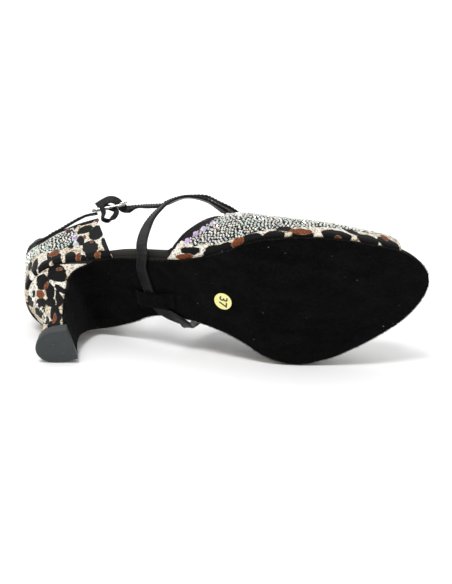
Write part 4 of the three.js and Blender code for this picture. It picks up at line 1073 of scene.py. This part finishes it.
def set_stones(name, skin, out, run, rise, rows):
    """Single stones, one by one: run, rise, diameter and hue"""
    for diameter in sorted({row[2] for row in rows}):
        some = [row for row in rows if row[2] == diameter]
        at = [np.argmin((run - x) ** 2 + (rise - y) ** 2) for x, y, _, _ in some]
        places, facing = skin.reshape(-1, 3)[at], unit(out.reshape(-1, 3)[at])
        label = f"{name}_{int(diameter * 10)}"
        size = {"Diameter": diameter / 1000, "Height": stone_share * diameter / 1000}
        heading, hues = np.tile([1.0, 0.3, 0.2], (len(at), 1)), {"hue": [row[3] for row in some]}
        setter.grow(label, "print", places + 0.15 * facing, facing, heading, hues, **size)


# Large stones along the throat: along the shoe, up from the feather edge, diameter and hue
throat_stones = [
    (96.0, 12.7, 3.2, 0.5), (99.3, 14.6, 4.0, 0.85), (104.2, 21.7, 4.0, 0.85), (109.4, 26.8, 4.0, 0.83),
    (115.1, 31.2, 4.0, 0.85), (121.2, 45.7, 3.2, 0.5), (130.3, 33.8, 3.2, 0.45), (139.2, 36.9, 3.2, 0.42),
    (124.5, 53.0, 3.2, 0.6), (127.0, 60.0, 3.2, 0.5), (129.0, 67.0, 3.2, 0.6), (130.5, 74.0, 3.2, 0.5),
    (131.5, 81.0, 3.2, 0.6),
]
across_vamp = lambda x, rise: np.interp(x, vamp_x[:, -1], vamp_rise[:, -1]) - rise
throat_stones += [(x, across_vamp(x, rise), size, hue) for x, rise, size, hue in throat_stones]
set_stones("throat_crystals", vamp_skin, vamp_out, vamp_x, vamp_rise, throat_stones)
set_stones(
    "counter_large_crystals", counter_outer, counter_normal, counter_run, counter_rise, counter_stones
)
heel_normal = np.cross(np.gradient(heel_wrap, axis=0), np.gradient(heel_wrap, axis=1))
heel_normal *= np.sign(np.sum(heel_normal * (heel_wrap - heel_wrap.mean((0, 1))), -1, keepdims=True))
heel_line = [(-10.1, 55.1, 2.6, 0.4), (-9.2, 51.7, 2.6, 0.3), (-8.0, 47.7, 2.6, 0.45)]
heel_line.append((-6.7, 42.9, 2.6, 0.2))
heel_line += [(-6.0 + 0.1 * n, 38.5 - 3.4 * n, 1.9, 0.1 * (n % 5)) for n in range(9)]
set_stones("heel_line_crystals", heel_wrap, heel_normal, wrap_run, heel_wrap[..., 2], heel_line)

# The suede loop is a strip cemented flat to the waist at both ends, with the strap running free
# under its raised middle.


def around_sole(along, across, off):
    """Places off the sole's suede, and the way down from it"""
    x = np.asarray(along, float) * length
    down = unit(spot(station(x + 1)[2] - station(x - 1)[2], 0, -2))
    place = spot(x, across * ball_width, station(x)[2])
    return place + down * (clearance + sole_stack + np.asarray(off))[..., None], down


def through(rows, count, round_trip=False):
    """A smooth line through rows of points, closer where they bend, as count steps"""
    rows = np.asarray(rows, float)
    total = len(rows)
    spans = total if round_trip else total - 1
    t = np.linspace(0, spans, count + 1)[: count if round_trip else count + 1]
    i = np.minimum(t.astype(int), spans - 1)
    w = (t - i)[:, None]
    if round_trip:
        p0, p1, p2, p3 = (rows[(i + n) % total] for n in (-1, 0, 1, 2))
    else:
        padded = np.vstack([2 * rows[0] - rows[1], rows, 2 * rows[-1] - rows[-2]])
        p0, p1, p2, p3 = (padded[i + n] for n in (0, 1, 2, 3))
    span = lambda a, b: np.maximum(np.sum((b - a) ** 2, axis=1) ** 0.25, 1e-4)[:, None]
    d0, d1, d2 = span(p0, p1), span(p1, p2), span(p2, p3)
    s1 = ((p1 - p0) / d0 - (p2 - p0) / (d0 + d1) + (p2 - p1) / d1) * d1
    s2 = ((p2 - p1) / d1 - (p3 - p1) / (d1 + d2) + (p3 - p2) / d2) * d1
    cubic = 2 * p1 - 2 * p2 + s1 + s2
    square = 3 * p2 - 3 * p1 - 2 * s1 - s2
    return cubic * w**3 + square * w**2 + s1 * w + p1


def flat_section(width, thickness, count=20):
    """A folded strap's section: flat faces with round edges"""
    angle = np.linspace(0, 2 * np.pi, count, endpoint=False) + np.pi / count
    c, s = np.cos(angle), np.sin(angle)
    x = width / 2 * np.sign(c) * np.abs(c) ** 0.5
    return spot(x, thickness / 2 * np.sign(s) * np.abs(s) ** (2 / 2.6))


strap_width, strap_thickness, loop_width, loop_thickness = 6.4, 1.8, 5.0, 1.3
rest = (loop_thickness + clearance) / 2
bridge = clearance + strap_thickness + rest
loop_along = [0.383, 0.3725, 0.361, 0.333, 0.305, 0.2935, 0.283]
loop_off = [rest, rest, bridge, bridge + 0.25, bridge, rest, rest]
loop_places, loop_looks = (through(rows, 80) for rows in around_sole(loop_along, 0.004, loop_off))
loop_section = flat_section(9.6, loop_thickness)
swept("suede_sole_loop", "sole_strap_loop", sole_suede, "suede", loop_places, loop_looks, loop_section)

# The strap is one long folded ribbon of black satin over a soft core. It runs from the buckle round
# the ankle, crosses the instep, goes under the waist and comes back over the instep to the
# buckle. Its edges are rolled.
along_buckle, across_buckle = unit(np.array([1, 0, 0.01])), unit(np.array([0, 0.49, 0.87]))
foot_out = unit(np.cross(along_buckle, across_buckle))
corner_lateral, corner_medial = (counter_point(end, 1.0, upper_wall / 2) for end in (-1.0, 1.0))
buckle_place = corner_lateral + np.array([7.7, 0.3, 15.8])
buckle_wire = 1.7
passing = (buckle_wire + strap_thickness) / 2 + clearance


def by_buckle(along, lift, across=0.0):
    return buckle_place + along * along_buckle + across * across_buckle + lift * foot_out


def on_counter(around, rise, out, tilt):
    edge = counter_point(around, 1.0, 0.0)
    outward = unit((edge - counter_point(around, 1.0, upper_wall)) * np.array([1, 1, 0]))
    ahead = counter_point(around + 0.02, 1.0, 0.0) - counter_point(around - 0.02, 1.0, 0.0)
    above = unit(np.cross(ahead, outward))
    above *= np.sign(above[2])
    angle = np.radians(tilt)
    return edge + outward * out + above * rise, outward * np.cos(angle) + above * np.sin(angle)


def in_air(along, across, up, *face):
    x = along * length
    return np.array([x, across * ball_width, station(x)[2] + up * instep_height]), np.array(face, float)


ankle_run = Table(
    "around rise out tilt",
    (-0.88, 9.2, 0.2, 30), (-0.74, 7.0, -0.9, 30), (-0.60, 5.4, -1.3, 30), (-0.50, 5.4, -1.3, 30),
    (-0.40, 5.7, -1.3, 30), (-0.30, 5.6, -1.4, 30), (-0.20, 5.6, -1.5, 30), (-0.10, 5.8, -1.8, 30),
    (0.00, 5.8, -2.0, 30), (0.10, 5.8, -1.8, 30), (0.20, 5.8, -1.5, 30), (0.40, 6.0, -1.2, 25),
    (0.60, 5.8, -1.0, 15), (0.80, 7.2, -0.8, 5),
)
# In the air: along, across and up as shares, then the way the flat side looks
cross_run = [
    (0.270, 0.330, 0.94, 0, 1, 0.05), (0.330, 0.350, 0.885, 0, 1, 0.1), (0.392, 0.345, 0.90, 0, 1, 0.1),
    (0.455, 0.318, 0.98, 0.2, 0.95, 0.2), (0.520, 0.235, 1.12, 0.3, 0.8, 0.4),
    (0.560, 0.110, 1.20, 0.5, 0.4, 0.7), (0.572, -0.030, 1.24, 0.6, 0, 0.8),
    (0.566, -0.150, 1.24, 0.6, -0.3, 0.7), (0.550, -0.240, 1.225, 0.45, -0.5, 0.7),
    (0.528, -0.298, 1.215, 0.3, -0.7, 0.65), (0.503, -0.346, 1.210, 0.1, -0.8, 0.6),
    (0.466, -0.390, 1.140, 0, -0.87, 0.49), (0.434, -0.416, 1.015, -0.2, -0.87, 0.49),
    (0.398, -0.430, 0.82, -0.3, -0.87, 0.45), (0.375, -0.422, 0.675, -0.3, -0.9, 0.3),
    (0.354, -0.408, 0.525, -0.3, -0.9, 0.2), (0.337, -0.394, 0.35, -0.1, -1, 0.1),
    (0.324, -0.384, 0.155, 0, -1, 0), (0.319, -0.372, 0.045, -0.05, -1, -0.05),
    (0.317, -0.340, -0.048, -0.4, -0.6, -0.65),
]
waist_run = [
    (0.317, -0.250), (0.320, -0.150), (0.325, -0.060), (0.333, 0.010), (0.344, 0.080), (0.363, 0.118),
]
instep_run = [
    (0.389, 0.170, -0.052, -0.35, 0.55, -0.75), (0.397, 0.232, 0.02, -0.1, 0.95, -0.2),
    (0.408, 0.275, 0.14, 0, 1, 0), (0.440, 0.318, 0.42, 0.1, 1, 0.1), (0.500, 0.310, 0.80, 0.1, 1, 0.1),
    (0.556, 0.235, 1.08, 0.3, 0.9, 0.3), (0.590, 0.110, 1.25, 0.6, 0.4, 0.6),
    (0.598, -0.020, 1.34, 0.7, 0, 0.7), (0.589, -0.125, 1.385, 0.6, -0.3, 0.7),
    (0.570, -0.185, 1.405, 0.5, -0.5, 0.7), (0.546, -0.230, 1.41, 0.4, -0.6, 0.7),
    (0.513, -0.280, 1.445, 0.2, -0.85, 0.5), (0.467, -0.317, 1.34, 0, -0.93, 0.36),
    (0.434, -0.342, 1.20, 0, -0.96, 0.28), (0.398, -0.363, 1.00, 0, -0.96, 0.26),
    (0.385, -0.343, 1.00, 0, -0.96, 0.26), (0.363, -0.325, 1.01, 0, -0.96, 0.26),
    (0.331, -0.291, 1.06, 0.1, -0.96, 0.26),
]
# Through the buckle: along and above it, then the lean and level of the flat side
hump_run = [
    (12.4, -passing - 1.0, 0.0, 1), (10.4, -passing - 0.7, 0.2, 1), (8.2, -1.9, 0.7, 0.7),
    (6.8, 0.6, 0.9, 0.4), (5.2, 3.2, 0.7, 0.7), (1.6, 4.9, 0.1, 1), (-3.4, 3.8, -0.4, 1),
    (-7.2, passing + 0.1, -0.3, 1),
]
medial_hold = corner_medial + np.array([-2.8, 0.2, 8.95])
strap_rows = [(by_buckle(along, -passing - 0.1), foot_out) for along in (-7.6, -10.6)]
for around in np.linspace(-0.88, 0.80, 27):
    held = ankle_run.at(around)
    strap_rows.append(on_counter(around, held["rise"], held["out"], held["tilt"]))
strap_rows.append((medial_hold, np.array([0, 1.0, 0])))
strap_rows += [in_air(*row) for row in cross_run]
strap_rows += [around_sole(along, across, (strap_thickness + clearance) / 2) for along, across in waist_run]
strap_rows += [in_air(*row) for row in instep_run]
hump_face = lambda slope, level: level * foot_out + slope * along_buckle - 0.9 * across_buckle
strap_rows += [(by_buckle(along, lift), hump_face(slope, level)) for along, lift, slope, level in hump_run]
strap_steps = 900
strap_places, strap_faces = (through(rows, strap_steps) for rows in zip(*strap_rows))
strap_faces = unit(strap_faces)
ribbon = flat_section(strap_width, strap_thickness, 24)
ribbon[:, 1] *= 1 - 0.14 * np.exp(-((ribbon[:, 0] / 1.6) ** 2))
step = np.arange(strap_steps + 1)
gather = 1 + 0.035 * np.sin(step * 0.83) * np.sin(step * 0.11)
swept("satin_strap", "strap", strap_satin, "satin", strap_places, strap_faces, ribbon, ease=gather)
strap_ahead = unit(np.gradient(strap_places, axis=0))
strap_across = unit(np.cross(strap_ahead, strap_faces))
strap_out = np.cross(strap_across, strap_ahead)
for label, side in (("near", -1), ("far", 1)):
    line = strap_places + side * 2.35 * strap_across + 0.83 * strap_out
    stitched("strap_stitches_" + label, "satin", line[30:-60], strap_out[30:-60], 2.3)

# Two narrow loops hold the strap: one is sewn to the lateral corner and goes round the buckle's
# near wire, the other goes round the strap over the medial corner.
lateral_loop = [
    (-4.6, -13.0, -6.8, -0.6, -0.6, -0.2), (-3.6, -9.4, -3.0, -0.5, -0.7, 0.5),
    (-4.0, -6.4, 1.1, 0, -0.7, 0.7), (-3.2, -4.6, 2.0, 0, 0.2, 1), (-1.2, -3.1, 0.9, 0, 1, 0.3),
    (1.6, -3.1, -0.9, 0, 1, -0.3),
    (3.4, -4.6, -2.1, 0.3, 0.45, -0.4), (4.0, -7.4, -3.8, -0.14, 0.36, -0.46),
    (2.0, -11.0, -6.6, -0.29, 0.49, -0.42), (-1.6, -13.2, -8.4, 0.1, -0.6, -0.8),
]


def strap_loop(name, node, line, looks, width, count):
    places, looks = through(line, count, True), unit(through(looks, count, True))
    section = flat_section(width, loop_thickness, 16)
    swept(name, node, binding_satin, "satin", places, looks, section, True)


loop_line = [by_buckle(a, lift, across) for a, across, lift, *_ in lateral_loop]
loop_looks = [a * along_buckle + b * across_buckle + c * foot_out for *_, a, b, c in lateral_loop]
strap_loop("lateral_strap_loop", "strap_loop_lateral", loop_line, loop_looks, 0.64 * loop_width, 160)
beside = (loop_thickness + strap_thickness) / 2 + 2.6 * clearance
above = (loop_thickness + strap_width) / 2 + 3 * clearance
half_ring = [
    (0, -above), (0.75 * beside, 0.08 - above), (beside, -0.7 * above), (beside, 0.7 * above),
    (0.75 * beside, above - 0.08),
]
whole_ring = half_ring + [(-a, -b) for a, b in half_ring]
ring_line = [medial_hold + np.array([0, a, b]) for a, b in whole_ring]
ring_looks = [(0, a / beside, b / above) for a, b in whole_ring]
strap_loop("medial_strap_loop", "strap_loop_medial", ring_line, ring_looks, loop_width, 120)

# The buckle is bent from round wire, plated bright, with a prong hooked round its near bar. Its
# plating is finely scratched where the strap rubs.
plating = Finish("bright_plating", Metallic=1.0)
hairline = plating.noise(0.5, 3, (0.2, 2.5, 2.5))
plating.feed(
    Base_Color=plating.mix(plating.noise(4, 2), colour(214, 214, 210), colour(178, 176, 170)),
    Roughness=hairline * 0.25 + 0.1,
    Normal=plating.bump(hairline, 0.02),
)
buckle_length, buckle_width, prong_radius, bend = 21.6, 12.0, 0.6, 2.4


def wire(name, node, radius, line, look, round_trip):
    places = np.array([by_buckle(a, lift, across) for a, across, lift in line])
    section = round_section(radius, 16)
    swept(name, node, plating.material, "plated", places, look, section, round_trip)


reach_a, reach_b = (buckle_length - buckle_wire) / 2 - bend, (buckle_width - buckle_wire) / 2 - bend
frame_line = []
for a, b, start in ((1, 1, 0), (-1, 1, 90), (-1, -1, 180), (1, -1, 270)):
    for angle in np.radians(np.linspace(start, start + 90, 10)):
        frame_line.append((a * reach_a + bend * np.cos(angle), b * reach_b + bend * np.sin(angle), 0))
wire("wire_buckle_frame", "buckle_frame", buckle_wire / 2, frame_line, foot_out, True)
over = buckle_wire / 2 + prong_radius + clearance
root, tip = over - (buckle_length - buckle_wire) / 2, buckle_length / 2
prong_rows = [(root, 0, 0), (root + 4, 0, 0.2), (tip - 2 * buckle_wire, 0, 0.8 * over)]
prong_rows += [(tip - buckle_wire, 0, over), (tip + prong_radius, 0, over)]
wire("wire_buckle_prong", "buckle_prong", prong_radius, through(prong_rows, 40), across_buckle, False)

# The size sticker is a round of pale yellow paper, stuck on the sole's slope while the shoe is new
# and printed with a plain number.
paper = Finish("sticker_paper", Roughness=0.55, Specular_IOR_Level=0.3)
paper.feed(
    Base_Color=paper.mix(paper.noise(2.5, 3), colour(246, 243, 168), colour(234, 226, 140)),
    Normal=paper.bump(paper.noise(0.3, 3), 0.03),
)
ink = Finish("printed_ink", Roughness=0.6)
ink.feed(Base_Color=ink.mix(ink.noise(0.5), colour(20, 20, 20), colour(44, 42, 40)))
sticker_x = 0.497 * length
sticker_slope = station(sticker_x + 1)[2] - station(sticker_x)[2]
sticker_up, sticker_out = unit(np.array([[1, 0, sticker_slope], [sticker_slope, 0, -1]]))
sticker_right = np.cross(sticker_up, sticker_out)
leaning = np.radians(-13)
number_right = np.cos(leaning) * sticker_right + np.sin(leaning) * sticker_up
number_up = np.cross(sticker_out, number_right)
sticker_place = np.array([sticker_x, -3.6, station(sticker_x)[2]]) + sticker_out * (sole_stack + clearance)
turn = np.linspace(0, 2 * np.pi, 72, endpoint=False)[:, None]
disc = np.cos(turn) * sticker_right + np.sin(turn) * sticker_up
disc_rings = [
    sticker_place + radius * disc + up * sticker_out
    for radius, up in ((0.5, 0.0), (4.6, 0.0), (5.2, 0.02), (5.2, 0.26), (5.1, 0.3), (4.6, 0.3), (0.5, 0.3))
]
piece("paper_size_sticker", *lofted(np.stack(disc_rings)), [paper.material], "paper", "size_sticker")
digits = bpy.data.curves.new("size_number", "FONT")
digits.body, digits.size, digits.align_x, digits.align_y = "37", 0.0068, "CENTER", "CENTER"
digits.extrude, digits.offset = 0.00002, 0.00012
number = settled("size_number", linked("size_number_curve", digits))
place = Matrix.Identity(4)
for column, axis in enumerate((number_right, number_up, sticker_out)):
    place.col[column] = (*(lying @ axis), 0)
place.col[3] = (*laid(sticker_place + sticker_out * 0.33), 1)
number.transform(place)
number.materials.clear()
number.materials.append(ink.material)
kept("size_number", number)

# The shoe is photographed on seamless white, under one broad light overhead.
bpy.ops.mesh.primitive_plane_add(size=6)
floor = bpy.context.object
floor.name = "white_floor"
white = Finish("white_floor", Roughness=0.9, Specular_IOR_Level=0.1)
white.feed(Base_Color=white.mix(white.noise(60, 1), (0.95, 0.95, 0.95, 1), (0.97, 0.97, 0.97, 1)))
floor.data.materials.append(white.material)
floor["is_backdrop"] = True
world = bpy.data.worlds.new("white_studio")
bpy.context.scene.world = world
world.use_nodes = True
background = world.node_tree.nodes["Background"].inputs
background["Color"].default_value, background["Strength"].default_value = (1, 1, 1, 1), 0.8
lights = (("high_light", (0.30, 0.48, -0.90), 1.75, 0.34), ("back_light", (0.1, -0.5, -0.85), 0.35, 0.9))
for name, aim, strength, spread in lights:
    light = bpy.data.lights.new(name, "SUN")
    light.energy, light.angle = strength, spread
    lamp = linked(name, light)
    lamp.rotation_mode = "QUATERNION"
    lamp.rotation_quaternion = Vector(aim).to_track_quat("-Z", "Y")
eye = bpy.data.cameras.new("camera")
eye.sensor_width, eye.lens, eye.clip_start, eye.clip_end = 36, 100.646, 0.01, 20
camera = linked("camera", eye)
right, up = (0.99458, -0.08732, 0.05637), (-0.03170, 0.26165, 0.96464)
forward = (0.09898, 0.96121, -0.25746)
camera.matrix_world = Matrix.Translation((-0.090515, -0.918857, 0.276324)) @ Matrix(
    [(right[n], up[n], -forward[n]) for n in range(3)]
).to_4x4()
bpy.context.scene.camera = camera
bpy.context.scene.view_settings.view_transform = "Standard"

low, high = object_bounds()
